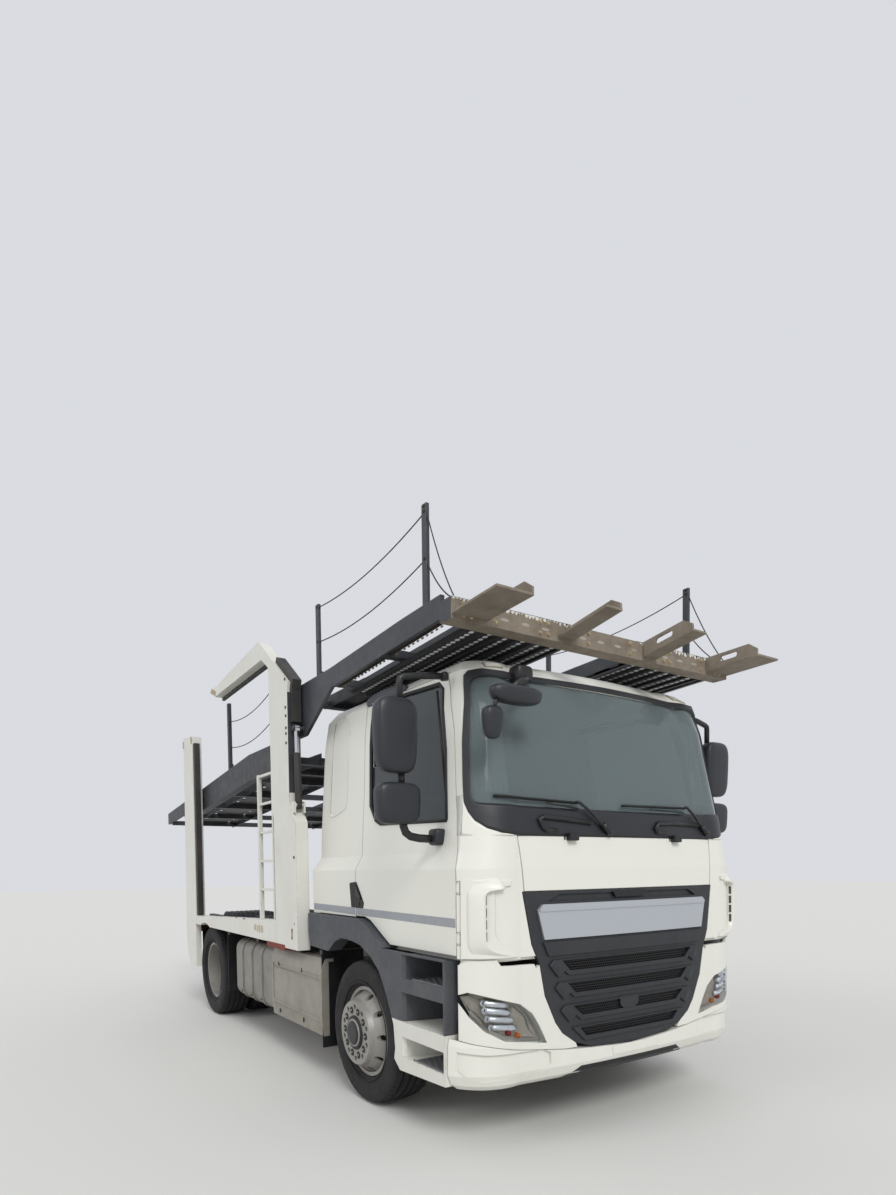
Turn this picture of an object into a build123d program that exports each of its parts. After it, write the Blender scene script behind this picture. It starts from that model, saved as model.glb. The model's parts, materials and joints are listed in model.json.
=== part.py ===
from build123d import *
from math import atan2, degrees, sqrt
import os

# A two-axle car transporter truck in millimetres: sleeper cab over the front axle, steel chassis,
# white side posts and beams, a deck over the cab, a sloping upper deck behind it and a lower deck.
# Measured from the front axle: +Y towards the rear, +X towards the truck's left, Z = 0 on the ground.
# At the end the whole truck is moved along Y so that its footprint is centred on the origin.

# Width over the body and what follows from it
POST_OUT = 1270
POST_W = 100
POST_IN = POST_OUT - POST_W
DECK_HALF = POST_IN - 10

# Wheels and axles
WHEELBASE = 3600
TYRE_R = 480
FRONT_TYRE_X = POST_OUT - 245
REAR_OUTER_X = POST_OUT - 218
TWIN_PITCH = 345
REAR_X = REAR_OUTER_X - TWIN_PITCH / 2
HUB_R = 95
STUB_R = 42
SPINDLE_R = 55
RUN = 0.08
KINGPIN_X = FRONT_TYRE_X - 130
KINGPIN_R = 26
EAR_GAP = 0.5
AXLE_Z = TYRE_R

# Chassis
RAIL_X = 395
RAIL_TOP = 905
RAIL_H = 260
RAIL_FLANGE = 75
RAIL_WALL = 9
FRAME_FRONT = -1000
FRAME_REAR = WHEELBASE + 1100
CROSSMEMBERS = (-930, 1500, 2450, WHEELBASE - 480, WHEELBASE + 520, WHEELBASE + 1040)
OUTRIGGER_H = 80
OUTRIGGERS = (1130, 2150, WHEELBASE - 540, WHEELBASE + 570)

# Cab
CAB_REAR = 850
WALL_FRONT = 740
CAB_FLOOR = 1060
FLOOR_T = 60
WALL = 50
SKIN = 24
HOOD_T = 18
SHUT_GAP = 8
SHUT_GAP_REAR = 15
GLASS_T = 6
FIT = 0.3
CAB_LOW = 1243
BELT_Z = 1860
ROOF_SEAM = 2712
SCUTTLE_Z = 1745
HOOD_LOW = 1437
GLASS_LOW = 1888
HINGE_R = 7
HINGE_EYE_R = 11

# Transporter body: the decks' height follows the cab's roof
DECK_Z = ROOF_SEAM + 188
PIVOT_R = 35
CAB_DECK_PIVOT = (1085, DECK_Z - 210)
REAR_DECK_PIVOT = (1330, DECK_Z - 290)
REAR_DECK_KNEE = 2298
REAR_DECK_TIP = WHEELBASE + 2164
FORK_TIP = -1500
LIFT_X = POST_OUT - 50
LIFT_PIN_R = 16
LIFT_BASE = (940, DECK_Z - 838)
LIFT_TOP = (958, DECK_Z - 248)
ROD_EYE_PLAY = 0.6

MID_Y = (REAR_DECK_TIP + FORK_TIP) / 2
BIG = 4000


def upper(z):
    """A height between the belt and the roof seam, which follows the seam."""
    return BELT_Z + (z - BELT_Z) * (ROOF_SEAM - BELT_Z) / 852


def block(x, y, z):
    """A box between two corners, each axis given as (low, high)."""
    size = (x[1] - x[0], y[1] - y[0], z[1] - z[0])
    centre = ((x[0] + x[1]) / 2, (y[0] + y[1]) / 2, (z[0] + z[1]) / 2)
    return Pos(*centre) * Box(*size)


def sheet(points, radius=0):
    """A flat face with straight edges, its corners rounded when a radius is given."""
    face = make_face(Polyline(*points, close=True))
    if radius:
        face = fillet(face.vertices(), radius)
    return face


def along_x(face, x):
    """Extrudes a (Y, Z) face between two X values."""
    return Pos(x[0], 0, 0) * extrude(Plane.YZ * face, x[1] - x[0])


def along_y(face, y):
    """Extrudes an (X, Z) face between two Y values."""
    return Pos(0, y[1], 0) * extrude(Plane.XZ * face, y[1] - y[0])


def along_z(face, z):
    """Extrudes an (X, Y) face between two Z values."""
    return Pos(0, 0, z[0]) * extrude(face, z[1] - z[0])


def rod(start, end, radius):
    """A round bar between two points."""
    a = Vector(*start)
    b = Vector(*end)
    return extrude(Plane(origin=a, z_dir=b - a) * Circle(radius), (b - a).length)


def pair(shape):
    """The right-hand piece and its mirror image on the left."""
    return [shape, mirror(shape, Plane.YZ)]


def both(shape):
    """The right-hand piece and its mirror image as one shape."""
    return shape + mirror(shape, Plane.YZ)


parts = {}


def keep(name, *shapes):
    """Files the solids of one node."""
    solids = []
    for shape in shapes:
        for item in shape if isinstance(shape, (list, tuple)) else [shape]:
            solids += [solid for solid in item.solids() if solid.volume > 50]
    parts[name] = solids


# Cab rings, lowest first: height, half width at the rear wall, half width at the door's front edge,
# Y of that edge, X and Y of the shoulder where the nose meets the corner, Y of the nose, Y of the rear
RINGS = (
    (1060, 1150, 1150, -1100, 835, -1262, -1288, 850),
    (1560, 1150, 1150, -1100, 835, -1243, -1268, 850),
    (1655, 1078, 1125, -1095, 832, -1233, -1258, 850),
    (1860, 1072, 1094, -1085, 800, -1202, -1238, 850),
    (upper(2480), 1032, 1026, -985, 755, -1080, -1125, 848),
    (ROOF_SEAM - 32, 1004, 987, -930, 720, -1010, -1052, 835),
    (ROOF_SEAM + 48, 940, 905, -835, 650, -905, -950, 785),
    (ROOF_SEAM + 78, 850, 790, -710, 560, -775, -825, 700),
)
CORNER_SAG = 0.17


def ring(row, inset, z):
    """One closed horizontal section of the cab, moved inwards by inset."""
    _, half_rear, half_front, side_y, shoulder_x, shoulder_y, nose_y, rear_y = row
    back = (half_rear - inset, rear_y - inset)
    side = (half_front - inset, side_y)
    shoulder = (shoulder_x - 0.6 * inset, shoulder_y + inset)
    dx = side[0] - shoulder[0]
    dy = side[1] - shoulder[1]
    bulge = ((side[0] + shoulder[0]) / 2 + CORNER_SAG * dy, (side[1] + shoulder[1]) / 2 - CORNER_SAG * dx)
    left = Line(back, side) + ThreePointArc(side, bulge, shoulder)
    nose = ThreePointArc(shoulder, (0, nose_y + inset), (-shoulder[0], shoulder[1]))
    right = ThreePointArc((-shoulder[0], shoulder[1]), (-bulge[0], bulge[1]), (-side[0], side[1]))
    right += Line((-side[0], side[1]), (-back[0], back[1]))
    rear = Line((-back[0], back[1]), back)
    return Pos(0, 0, z) * make_face(left + nose + right + rear)


def cab_body(inset, low=None):
    """The solid inside the cab's skin, moved inwards by inset."""
    faces = []
    for number, row in enumerate(RINGS):
        z = row[0]
        if number == 0 and low is not None:
            z = low
        if number >= len(RINGS) - 2:
            z -= inset
        faces.append(ring(row, inset, z))
    return loft(faces, ruled=True)


# Outlines on the cab's side in (Y, Z)
DOOR_OUTLINE = (
    (-1100, 1085),
    (-1100, 1545),
    (-1062, 1770),
    (-1018, upper(1940)),
    (-941, upper(2336)),
    (-850, upper(2600)),
    (-800, ROOF_SEAM - SHUT_GAP),
    (200, ROOF_SEAM - SHUT_GAP),
    (165, upper(2317)),
    (142, upper(2040)),
    (125, 1640),
    (125, CAB_LOW),
    (-15, CAB_LOW),
    (-95, 1222),
    (-230, 1150),
    (-355, 1085),
)
FRONT_LINE = (
    (-1100, 1000),
    (-1100, 1545),
    (-1062, 1770),
    (-1018, upper(1940)),
    (-941, upper(2336)),
    (-850, upper(2600)),
    (-796, ROOF_SEAM),
    (-BIG, ROOF_SEAM),
    (-BIG, 1000),
)
WINDOW_OUTLINE = (
    (-935, 1832),
    (-870, upper(2234)),
    (-775, upper(2600)),
    (-720, upper(2645)),
    (-300, upper(2668)),
    (100, upper(2655)),
    (80, upper(2400)),
    (30, upper(1990)),
    (-60, 1885),
    (-130, 1858),
)
QUARTER_RECESS = ((725, upper(2655)), (570, upper(2690)), (460, upper(2640)), (405, upper(2061)),
                  (430, upper(2006)), (667, upper(1950)), (720, upper(1990)))
SIDE_RIGHT = (-BIG, -880)


def moved_in(points, amount, rear_amount):
    """The outline moved inwards, its rear edge by its own amount."""
    small = offset(sheet(points), -amount, kind=Kind.INTERSECTION)
    return small & (Pos(amount - rear_amount, 0, 0) * small)


def build_cab():
    outer = cab_body(0)
    skin = cab_body(SKIN, low=CAB_FLOOR - 10)
    hood_back = cab_body(HOOD_T, low=CAB_FLOOR - 10)
    inner = cab_body(WALL, low=CAB_FLOOR - 10)
    glass_out = cab_body(10, low=CAB_FLOOR - 10)
    glass_in = cab_body(10 + GLASS_T, low=CAB_FLOOR - 10)
    shell = outer - inner
    outer_layer = outer - skin
    inner_layer = skin - inner
    above_floor = block((-BIG, BIG), (-BIG, BIG), (CAB_FLOOR + FLOOR_T, ROOF_SEAM))

    # Roof, rear wall, floor tub and quarter panels
    keep("cab_roof", shell & block((-BIG, BIG), (-BIG, BIG), (ROOF_SEAM, BIG)))
    middle = shell & above_floor
    wall = middle & block((-BIG, BIG), (WALL_FRONT, BIG), (0, BIG))
    wall -= both(block((1094, BIG), (0, BIG), (0, CAB_LOW - 4)))
    keep("cab_rear_wall", wall)
    floor = block((-1090, 1090), (-1095, CAB_REAR), (CAB_FLOOR, CAB_FLOOR + FLOOR_T))
    sill = block((-1094, -1060), (-1095, WALL_FRONT), (CAB_FLOOR, CAB_LOW - 8))
    keep("cab_floor", floor + both(sill))
    door_hole = both(along_x(sheet(DOOR_OUTLINE), SIDE_RIGHT))
    front_zone = along_x(sheet(FRONT_LINE), (-BIG, BIG))
    quarter = middle - front_zone - door_hole - block((-BIG, BIG), (WALL_FRONT, BIG), (0, BIG))
    quarter -= block((-BIG, BIG), (-BIG, BIG), (0, CAB_LOW))
    recess = (outer - glass_out) & both(along_x(sheet(QUARTER_RECESS, 25), SIDE_RIGHT))
    keep("quarter_panels", quarter - recess)

    # Front structure, windscreen and scuttle
    screen = sheet(((-1062, GLASS_LOW), (-1040, upper(2250)), (-985, upper(2610)), (-960, upper(2640)),
                    (960, upper(2640)), (985, upper(2610)), (1040, upper(2250)), (1062, GLASS_LOW)))
    screen_hole = along_y(screen, (-BIG, -850))
    front = shell & front_zone & block((-BIG, BIG), (-BIG, BIG), (CAB_FLOOR, ROOF_SEAM))
    low_zone = block((-BIG, BIG), (-BIG, BIG), (0, GLASS_LOW - 8))
    keep("cab_front", front - (outer_layer & low_zone) - screen_hole)
    skin_low = outer_layer & front_zone
    scuttle_z = (SCUTTLE_Z, GLASS_LOW - 8)
    keep("scuttle_panel", skin_low & block((-BIG, BIG), (-BIG, BIG), scuttle_z))
    glass = along_y(offset(screen, -FIT, kind=Kind.INTERSECTION), (-BIG, -850))
    keep("windscreen", (glass_out - glass_in) & glass & front_zone)

    # Hood panel between the corner panels
    hood_face = sheet(((-800, HOOD_LOW), (-824, SCUTTLE_Z - 6), (824, SCUTTLE_Z - 6), (800, HOOD_LOW)))
    hood = (outer - hood_back) & along_y(hood_face, (-BIG, -800))
    corner = skin_low & block((-BIG, 0), (-BIG, BIG), (1078, SCUTTLE_Z))
    corner -= along_y(sheet(((-716, 1026), (-766, 1141), (-818, 1433), (-806, HOOD_LOW), (-830, SCUTTLE_Z + 10),
                            (0, SCUTTLE_Z + 10), (0, 1026))), (-BIG, -800))
    return outer, shell, outer_layer, inner_layer, glass_out, glass_in, hood, corner


DOOR_AXIS = (-1139, -1107)
HOOD_AXIS = (-1262, SCUTTLE_Z - 5)
BUMPER_RING = (0, 1190, 1190, -1060, 850, -1262, -1306, 0)


def build_doors(outer_layer, inner_layer, glass_out, glass_in):
    window = along_x(sheet(WINDOW_OUTLINE), SIDE_RIGHT)
    skin = outer_layer & along_x(moved_in(DOOR_OUTLINE, SHUT_GAP, SHUT_GAP), SIDE_RIGHT)
    frame = inner_layer & along_x(moved_in(DOOR_OUTLINE, SHUT_GAP + 4, SHUT_GAP_REAR), SIDE_RIGHT)
    door = skin + frame - window
    pane = along_x(offset(sheet(WINDOW_OUTLINE), -FIT, kind=Kind.INTERSECTION), SIDE_RIGHT)
    glass = (glass_out - glass_in) & pane
    return door, glass


# Door hinges in the corner behind the door's front edge, each at (low, high)
HINGES = ((1160, 1212), (1434, 1486))


def hinge_pocket(z):
    x, y = DOOR_AXIS
    return Pos(x, y, (z[0] + z[1]) / 2) * Cylinder(HINGE_EYE_R + 5, z[1] - z[0])


def hinge_ears(z):
    x, y = DOOR_AXIS
    low = block((x - HINGE_R, x + 31), (y - 10, -1100.5), (z[0] - 9, z[0]))
    high = block((x - HINGE_R, x + 31), (y - 10, -1100.5), (z[1], z[1] + 9))
    return low + high + rod((x, y, z[0] - 9), (x, y, z[1] + 9), HINGE_R)


def hinge_eye(z):
    x, y = DOOR_AXIS
    eye = rod((x, y, z[0] + 1), (x, y, z[1] - 1), HINGE_EYE_R)
    eye += block((x - 8, x + 11), (y, -1085), (z[0] + 1, z[1] - 1))
    return eye - rod((x, y, z[0]), (x, y, z[1]), HINGE_R + RUN)


# Hood hinges at the top edge
HOOD_HINGE_X = (420, 480)


def revolve_x(profile):
    """Revolves an (X, radius) outline about the X axis."""
    return revolve(Plane.XY * sheet(profile), Axis.X, 360)


# Half of a tyre's section in (X, radius) from the bead to the tread
TYRE_HALF = ((109.7, 288), (109.7, 301), (152, 380), (148, 430), (126, 472), (80, TYRE_R))
TYRE_PROFILE = TYRE_HALF + tuple((-x, r) for x, r in reversed(TYRE_HALF))
FRONT_RIM = ((-118, 276), (-118, 300), (-110, 300), (-110, 288), (110, 288), (110, 300), (118, 300), (118, 276),
             (98, 274), (172, 224), (205, 212), (205, 100), (222, 90), (222, 0), (150, 0), (150, STUB_R + RUN),
             (-60, STUB_R + RUN), (-60, HUB_R), (186, HUB_R), (186, 205), (158, 214), (80, 262), (70, 274),
             (-105, 274))
# Twin rims about the middle between the two tyres; T is half the distance between them
T = TWIN_PITCH / 2
REAR_RIM = ((-T - 118, 300), (-T - 110, 300), (-T - 110, 288), (-T + 110, 288), (-T + 110, 300), (-T + 118, 300),
            (-T + 118, 276), (-8, 222), (8, 222), (T - 118, 276), (T - 118, 300), (T - 110, 300), (T - 110, 288),
            (T + 110, 288), (T + 110, 300), (T + 118, 300), (T + 118, 276), (T - 102, 274), (T - 108, 268),
            (18, 214), (18, 140), (130, 140), (140, 125), (140, 0), (120, 0), (120, SPINDLE_R + RUN),
            (-140, SPINDLE_R + RUN), (-140, 140), (-18, 140), (-18, 214), (-T + 108, 268), (-T + 102, 274),
            (-T - 118, 276))


def build_wheels():
    tyre = revolve_x(TYRE_PROFILE)
    front_tyre = Pos(FRONT_TYRE_X, 0, AXLE_Z) * tyre
    front_rim = revolve_x(FRONT_RIM)
    for number in range(10):
        turn = Rot(36 * number, 0, 0)
        front_rim -= turn * Pos(196, 0, 172) * Rot(0, 90, 0) * Cylinder(17, 30)
        front_rim -= turn * Rot(18, 0, 0) * Pos(120, 0, 249) * Rot(0, 90, 0) * Cylinder(20, 90)
    front_rim += Pos(206, 0, 0) * Rot(0, 90, 0) * Cylinder(80, 30)
    front_rim = Pos(FRONT_TYRE_X, 0, AXLE_Z) * front_rim
    rear_tyres = [Pos(x, WHEELBASE, AXLE_Z) * tyre for x in (REAR_OUTER_X, REAR_OUTER_X - TWIN_PITCH)]
    rear_rim = revolve_x(REAR_RIM)
    for number in range(10):
        turn = Rot(36 * number + 18, 0, 0)
        rear_rim -= turn * Pos(40, 0, 238) * Rot(0, 90, 0) * Cylinder(19, 70)
    rear_rim = Pos(REAR_X, WHEELBASE, AXLE_Z) * rear_rim
    keep("tyre_front_left", front_tyre)
    keep("tyre_front_right", mirror(front_tyre, Plane.YZ))
    keep("rim_front_left", front_rim)
    keep("rim_front_right", mirror(front_rim, Plane.YZ))
    keep("tyres_rear_left", rear_tyres)
    keep("tyres_rear_right", [mirror(tyre, Plane.YZ) for tyre in rear_tyres])
    keep("rims_rear_left", rear_rim)
    keep("rims_rear_right", mirror(rear_rim, Plane.YZ))


def build_axles():
    # Steering knuckle: kingpin, two ears, web and stub shaft
    x = KINGPIN_X
    low = AXLE_Z - 60
    high = AXLE_Z + 60
    web = block((x + 53, x + 65), (-60, 60), (low - 48, high + 48))
    ears = block((x - 50, x + 65), (-42, 42), (low - 48, low - EAR_GAP))
    ears += block((x - 50, x + 65), (-42, 42), (high + EAR_GAP, high + 48))
    pin = rod((x, 0, low - 48), (x, 0, high + 48), KINGPIN_R)
    stub = rod((x + 55, 0, AXLE_Z), (FRONT_TYRE_X + 148, 0, AXLE_Z), STUB_R)
    arm = block((x - 15, x + 65), (-210, -40), (low - 40, low - 15))
    arm -= rod((x + 10, -185, low - 50), (x + 10, -185, low), 12)
    knuckle = web + ears + pin + stub + arm
    keep("knuckle_left", knuckle)
    keep("knuckle_right", mirror(knuckle, Plane.YZ))

    # Front axle: beam, kingpin eyes, leaf springs and their hangers on the rails
    eye = rod((x, 0, low), (x, 0, high), 50)
    eye += block((x - 115, x - 20), (-40, 40), (low + 10, high - 20))
    eye -= rod((x, 0, low - 10), (x, 0, high + 10), KINGPIN_R + RUN)
    beam = block((0, x - 95), (-45, 45), (low - 10, high - 40))
    half = eye + beam + spring_and_seat(0, SPRING_X, AXLE_Z + 20)
    keep("front_axle", both(half))

    # Rear axle: tube, final drive, shafts for the hubs, springs and hangers
    y = WHEELBASE
    tube = rod((0, y, AXLE_Z), (REAR_X - 240, y, AXLE_Z), 72)
    tube += rod((REAR_X - 280, y, AXLE_Z), (REAR_X + 118, y, AXLE_Z), SPINDLE_R)
    around = block((0, 200), (y - 600, y + 600), (0, 2 * AXLE_Z))
    drive = Pos(0, y, AXLE_Z) * Sphere(185) & around
    nose = rod((0, y - 300, AXLE_Z + 10), (0, y, AXLE_Z + 10), 85) & around
    half = tube + drive + nose + spring_and_seat(y, SPRING_X - 30, AXLE_Z + 50)
    axle = both(half)
    keep("rear_axle", axle)
    shaft = rod((0, 890, 620), (0, y - 290, AXLE_Z + 14), 42)
    shaft = (shaft - axle) & block((-100, 100), (900.3, y), (0, 1000))
    keep("propshaft", shaft)


SPRING_X = 465


def spring_and_seat(y, x, low):
    """A leaf spring over an axle with its seat and the two hangers on the rail."""
    leaf = sheet(((y - 640, low + 140), (y - 620, low + 155), (y - 300, low + 112), (y, low + 100),
                  (y + 300, low + 112), (y + 620, low + 155), (y + 640, low + 140), (y + 300, low + 60),
                  (y, low + 40), (y - 300, low + 60)))
    shape = along_x(leaf, (x, x + 80)) + block((x - 5, x + 85), (y - 80, y + 80), (low - 2, low + 45))
    for at in (y - 620, y + 620):
        shape += block((RAIL_X, x + 80), (at - 35, at + 35), (low + 140, low + 260))
    return shape


def build_chassis(nose_inner, bumper_inner):
    # Channel rails joined by cross-members, with brackets for the cab, grille and bumper
    rail = block((RAIL_X - RAIL_FLANGE, RAIL_X), (FRAME_FRONT, FRAME_REAR), (RAIL_TOP - RAIL_H, RAIL_TOP))
    rail -= block((0, RAIL_X - RAIL_WALL), (FRAME_FRONT - 1, FRAME_REAR + 1),
                  (RAIL_TOP - RAIL_H + RAIL_WALL, RAIL_TOP - RAIL_WALL))
    half = rail
    for y in CROSSMEMBERS:
        half += block((0, RAIL_X - 4), (y - 35, y + 35), (700, 860))
    for y in (-860, 700):
        half += block((300, 390), (y - 60, y + 60), (RAIL_TOP - 4, CAB_FLOOR))
    nose = block((290, 380), (-1320, FRAME_FRONT + 40), (720, 860)) & nose_inner
    half += nose
    low = block((290, 380), (-1320, FRAME_FRONT + 60), (460, 600)) & bumper_inner
    low += block((290, 380), (FRAME_FRONT, FRAME_FRONT + 60), (460, 660))
    half += low
    frame = both(half)
    for y in OUTRIGGERS:
        frame += block((-POST_IN, POST_IN), (y - 38, y + 38), (RAIL_TOP, RAIL_TOP + OUTRIGGER_H))
    keep("chassis_frame", frame)
    engine = block((-290, 290), (-700, 350), (560, 1040))
    engine += block((-160, 160), (300, 900), (520, 820))
    for y in (-450, 150):
        engine += block((RAIL_WALL - RAIL_X, RAIL_X - RAIL_WALL), (y - 50, y + 50), (740, 790))
    keep("engine_block", engine)


# Side equipment between the wheels: Y of the box and of the tank
SIDE_BOX_Y = (640, 1680)
TANK_Y = (1700, WHEELBASE - 865)
SIDE_OUT = POST_OUT - 70
TANK_STRAPS = (0.27, 0.54, 0.81)


def tank_shape(y, x, z):
    outline = sheet(((x[0], z[0]), (x[1], z[0]), (x[1], z[1]), (x[0], z[1])), 110)
    return along_y(outline, y)


def build_side_equipment():
    tank = tank_shape(TANK_Y, (560, SIDE_OUT - 10), (325, 900))
    for share in TANK_STRAPS:
        y = TANK_Y[0] + share * (TANK_Y[1] - TANK_Y[0])
        tank += tank_shape((y - 28, y + 28), (556, SIDE_OUT - 3), (318, 904))
    tank += rod((900, TANK_Y[0] + 80, 895), (900, TANK_Y[0] + 80, 904), 60)
    for y in (TANK_Y[0] + 200, TANK_Y[1] - 185):
        tank += block((RAIL_X, 620), (y - 40, y + 40), (660, 760))
    keep("fuel_tanks", pair(tank))
    near, far = SIDE_BOX_Y
    x = SIDE_OUT
    box = block((560, x - 50), SIDE_BOX_Y, (345, 895))
    cover = sheet(((x - 100, 904), (x - 35, 904), (x - 8, 850), (x, 790), (x, 440), (x - 12, 325), (x - 60, 325),
                   (x - 60, 880), (x - 100, 880)))
    cover = along_y(cover, (near - 24, far + 10))
    cover -= block((x - 5, x + 10), (near + 15, far - 25), (455, 775))
    box += cover + block((x - 100, x - 50), SIDE_BOX_Y, (880, 895))
    for y in (near + 160, far - 180):
        box += block((RAIL_X, 600), (y - 40, y + 40), (660, 760))
    keep("side_boxes", pair(box))
    flap_y = WHEELBASE - 588
    flap = block((560, SIDE_OUT - 5), (flap_y, flap_y + 6), (330, 904))
    flap += block((RAIL_X, 600), (flap_y - 32, flap_y + 6), (800, 860))
    flap_y = WHEELBASE + 520
    rear_flap = block((560, SIDE_OUT - 35), (flap_y, flap_y + 6), (330, 904))
    rear_flap += block((RAIL_X, 600), (flap_y, flap_y + 12), (800, 870))
    keep("mudguards", pair(flap), pair(rear_flap))


# Side outlines of the transporter body in (Y, Z); D is the height of the deck over the cab, W the rear axle
D = DECK_Z
W = WHEELBASE
BEAM_LOW = 965
FRONT_POST = ((890, 945), (1362, 945), (1362, D - 910), (1400, D - 840), (1417, D + 309), (1480, D + 350),
              (1582, D + 414), (2977, D + 397), (3154, D + 474), (1647, D + 579), (985, D + 100), (1004, D + 43),
              (1000, D - 850), (890, D - 970))
REAR_POST = ((W + 336, D + 160), (W + 362, BEAM_LOW), (W + 812, BEAM_LOW), (W + 725, D + 194))
REAR_FOOT = ((W + 385, BEAM_LOW + 1), (W + 392, 484), (W + 600, 490), (W + 730, 545), (W + 800, 650),
             (W + 812, BEAM_LOW + 1))
SIDE_BEAM = ((1363, BEAM_LOW), (1363, 1156), (W + 198, 1064), (W + 361, 1064), (W + 361, BEAM_LOW))
POST_STRIP = ((958, D - 200), (1001.5, D - 200), (1003.5, D + 43), (984.5, D + 100.5), (1300, D + 329),
              (1274, D + 364), (940, D + 118), (958, D + 35))
ARM_STRIP = ((1584, D + 413.7), (2974, D + 396.7), (2974, D + 368), (1600, D + 384))
REAR_GUIDE = ((W + 284, 1066), (W + 360, 1066), (W + 336.2, D + 80), (W + 268, D + 80))
CAB_DECK_PANEL = ((1172, D + 88), (437, D + 89), (-564, D + 127), (-1000, D + 135), (-1000, D + 6), (-966, D + 6),
                  (309, D - 44), (426, D - 46), (921, D - 305), (1172, D - 305))
REAR_DECK_PANEL = ((1235, D - 261), (REAR_DECK_KNEE, D - 261), (REAR_DECK_TIP, D - 568), (REAR_DECK_TIP, D - 708),
                   (4450, D - 601), (4350, D - 682), (REAR_DECK_KNEE, D - 501), (1235, D - 501))
REAR_DECK_FLANGE = ((1235, D - 501), (REAR_DECK_KNEE, D - 501), (4350, D - 682), (4350, D - 662),
                    (REAR_DECK_KNEE, D - 481), (1235, D - 481))
REAR_DECK_EAR = ((1235, D - 340), (1235, D - 140), (1400, D - 200), (1500, D - 261), (1500, D - 340))
REAR_DECK_BEAMS = (1300, 1900, 2500, 3300, 4100, 4900, REAR_DECK_TIP - 164)
REAR_STANCHION_Y = 3035
LADDER_RUNGS = (1399, 1644, 1891, 2135, 2375)
LADDER_Y = (1450, 1840)
LOWER_DECK_Z = 985
LOWER_DECK_RIBS = (-900, -360, 360, 900)
WHEEL_HUMPS = (1500, 2600, WHEELBASE + 100)


def build_superstructure():
    x_in, x_out = POST_IN, POST_OUT
    post = along_x(sheet(FRONT_POST), (x_in, x_out))
    for y, z in (CAB_DECK_PIVOT, REAR_DECK_PIVOT):
        post -= rod((x_in - 1, y, z), (x_in + 62, y, z), PIVOT_R + RUN)
    y, z = LIFT_BASE
    ear = sheet(((y - 28, z - 60), (y - 28, z + 20), (y, z + 30), (y + 62, z + 20), (y + 62, z - 60)))
    post += along_x(ear, (LIFT_X - 44, LIFT_X - 32)) + along_x(ear, (LIFT_X + 32, LIFT_X + 44))
    post += rod((LIFT_X - 44, y, z), (LIFT_X + 44, y, z), LIFT_PIN_R)
    keep("front_posts", pair(post))
    rear = along_x(sheet(REAR_POST), (x_in, x_out)) + along_x(sheet(REAR_FOOT), (x_out - 56, x_out))
    keep("rear_posts", pair(rear))
    channels = [along_x(sheet(POST_STRIP), (x_in + 6, x_out - 20)), along_x(sheet(ARM_STRIP), (x_in + 6, x_in + 30)),
                along_x(sheet(REAR_GUIDE), (x_in + 35, x_out - 8)) - rear]
    keep("post_channels", *[pair(piece) for piece in channels])
    side = along_x(sheet(SIDE_BEAM), (x_in, x_out))
    side -= rod((x_in - 100, W, AXLE_Z), (x_out + 100, W, AXLE_Z), TYRE_R + 40)
    side -= rear
    first, last = LADDER_Y
    ladder = block((x_out - 55, x_out - 25), (last - 40, last), (1120, 2390))
    ladder += block((x_out - 55, x_out - 25), (first, first + 30), (1140, 2390))
    for z in LADDER_RUNGS:
        ladder += block((x_out - 50, x_out - 30), (first + 15, last - 20), (z - 10, z + 10))
    keep("side_beams", side, mirror(side + ladder, Plane.YZ))
    deck_x = (5 - x_in, x_in - 5)
    deck = block(deck_x, (1375, FRAME_REAR), (LOWER_DECK_Z, LOWER_DECK_Z + 20))
    for x in LOWER_DECK_RIBS:
        deck += block((x - 30, x + 30), (1375, FRAME_REAR), (LOWER_DECK_Z + 20, LOWER_DECK_Z + 47))
    for y in WHEEL_HUMPS:
        hump = sheet(((y, LOWER_DECK_Z + 19), (y + 120, LOWER_DECK_Z + 85), (y + 560, LOWER_DECK_Z + 85),
                      (y + 700, LOWER_DECK_Z + 19)))
        deck += both(along_x(hump, (400, 860)))
    keep("lower_deck", deck)
    y = FRAME_REAR
    coupling = block((-380, 380), (y - 60, y), (450, 640)) + block((-60, 60), (y - 10, y + 180), (500, 570))
    coupling += block((RAIL_WALL - RAIL_X, RAIL_X - RAIL_WALL), (y - 100, y - 40), (560, 645))
    keep("tow_coupling", coupling)
    lamp = block((820, 1150), (y, y + 60), (820, 940)) + block((RAIL_X + FIT, 1100), (y - 60, y), (860, 904))
    keep("tail_lamps", pair(lamp))


# Deck tracks: X inside and outside, plate, side lips, rows of long holes
TRACK_X = (300, 900)
TRACK_T = 8
TRACK_LIP = 45
SLOT_ROWS = (420, 780)
SLOT_SIZE = (34, 90)
SLOT_PITCH = 230


def track(start, end, slots):
    """A folded wheel track between two (Y, Z) points: plate, two side lips and rows of long holes."""
    a, b = TRACK_X
    y0, z0 = start
    y1, z1 = end
    length = sqrt((y1 - y0) ** 2 + (z1 - z0) ** 2)
    plate = block((a, b), (0, length), (0, TRACK_T))
    for x in (a, b - TRACK_T):
        plate += block((x, x + TRACK_T), (0, length), (-TRACK_LIP, TRACK_LIP))
    plate += block((SLOT_ROWS[0] + 110, SLOT_ROWS[1] - 110), (0, length), (TRACK_T, 26))
    if slots:
        hole = along_z(SlotOverall(SLOT_SIZE[1], SLOT_SIZE[0], rotation=90), (-20, 60))
        count = int((length - 160) / SLOT_PITCH)
        first = (length - (count - 1) * SLOT_PITCH) / 2
        for x in SLOT_ROWS:
            for number in range(count):
                plate -= Pos(x, first + number * SLOT_PITCH, 0) * hole
    tilt = degrees(atan2(z1 - z0, y1 - y0))
    return Pos(0, y0, z0) * Rot(tilt, 0, 0) * plate


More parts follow.
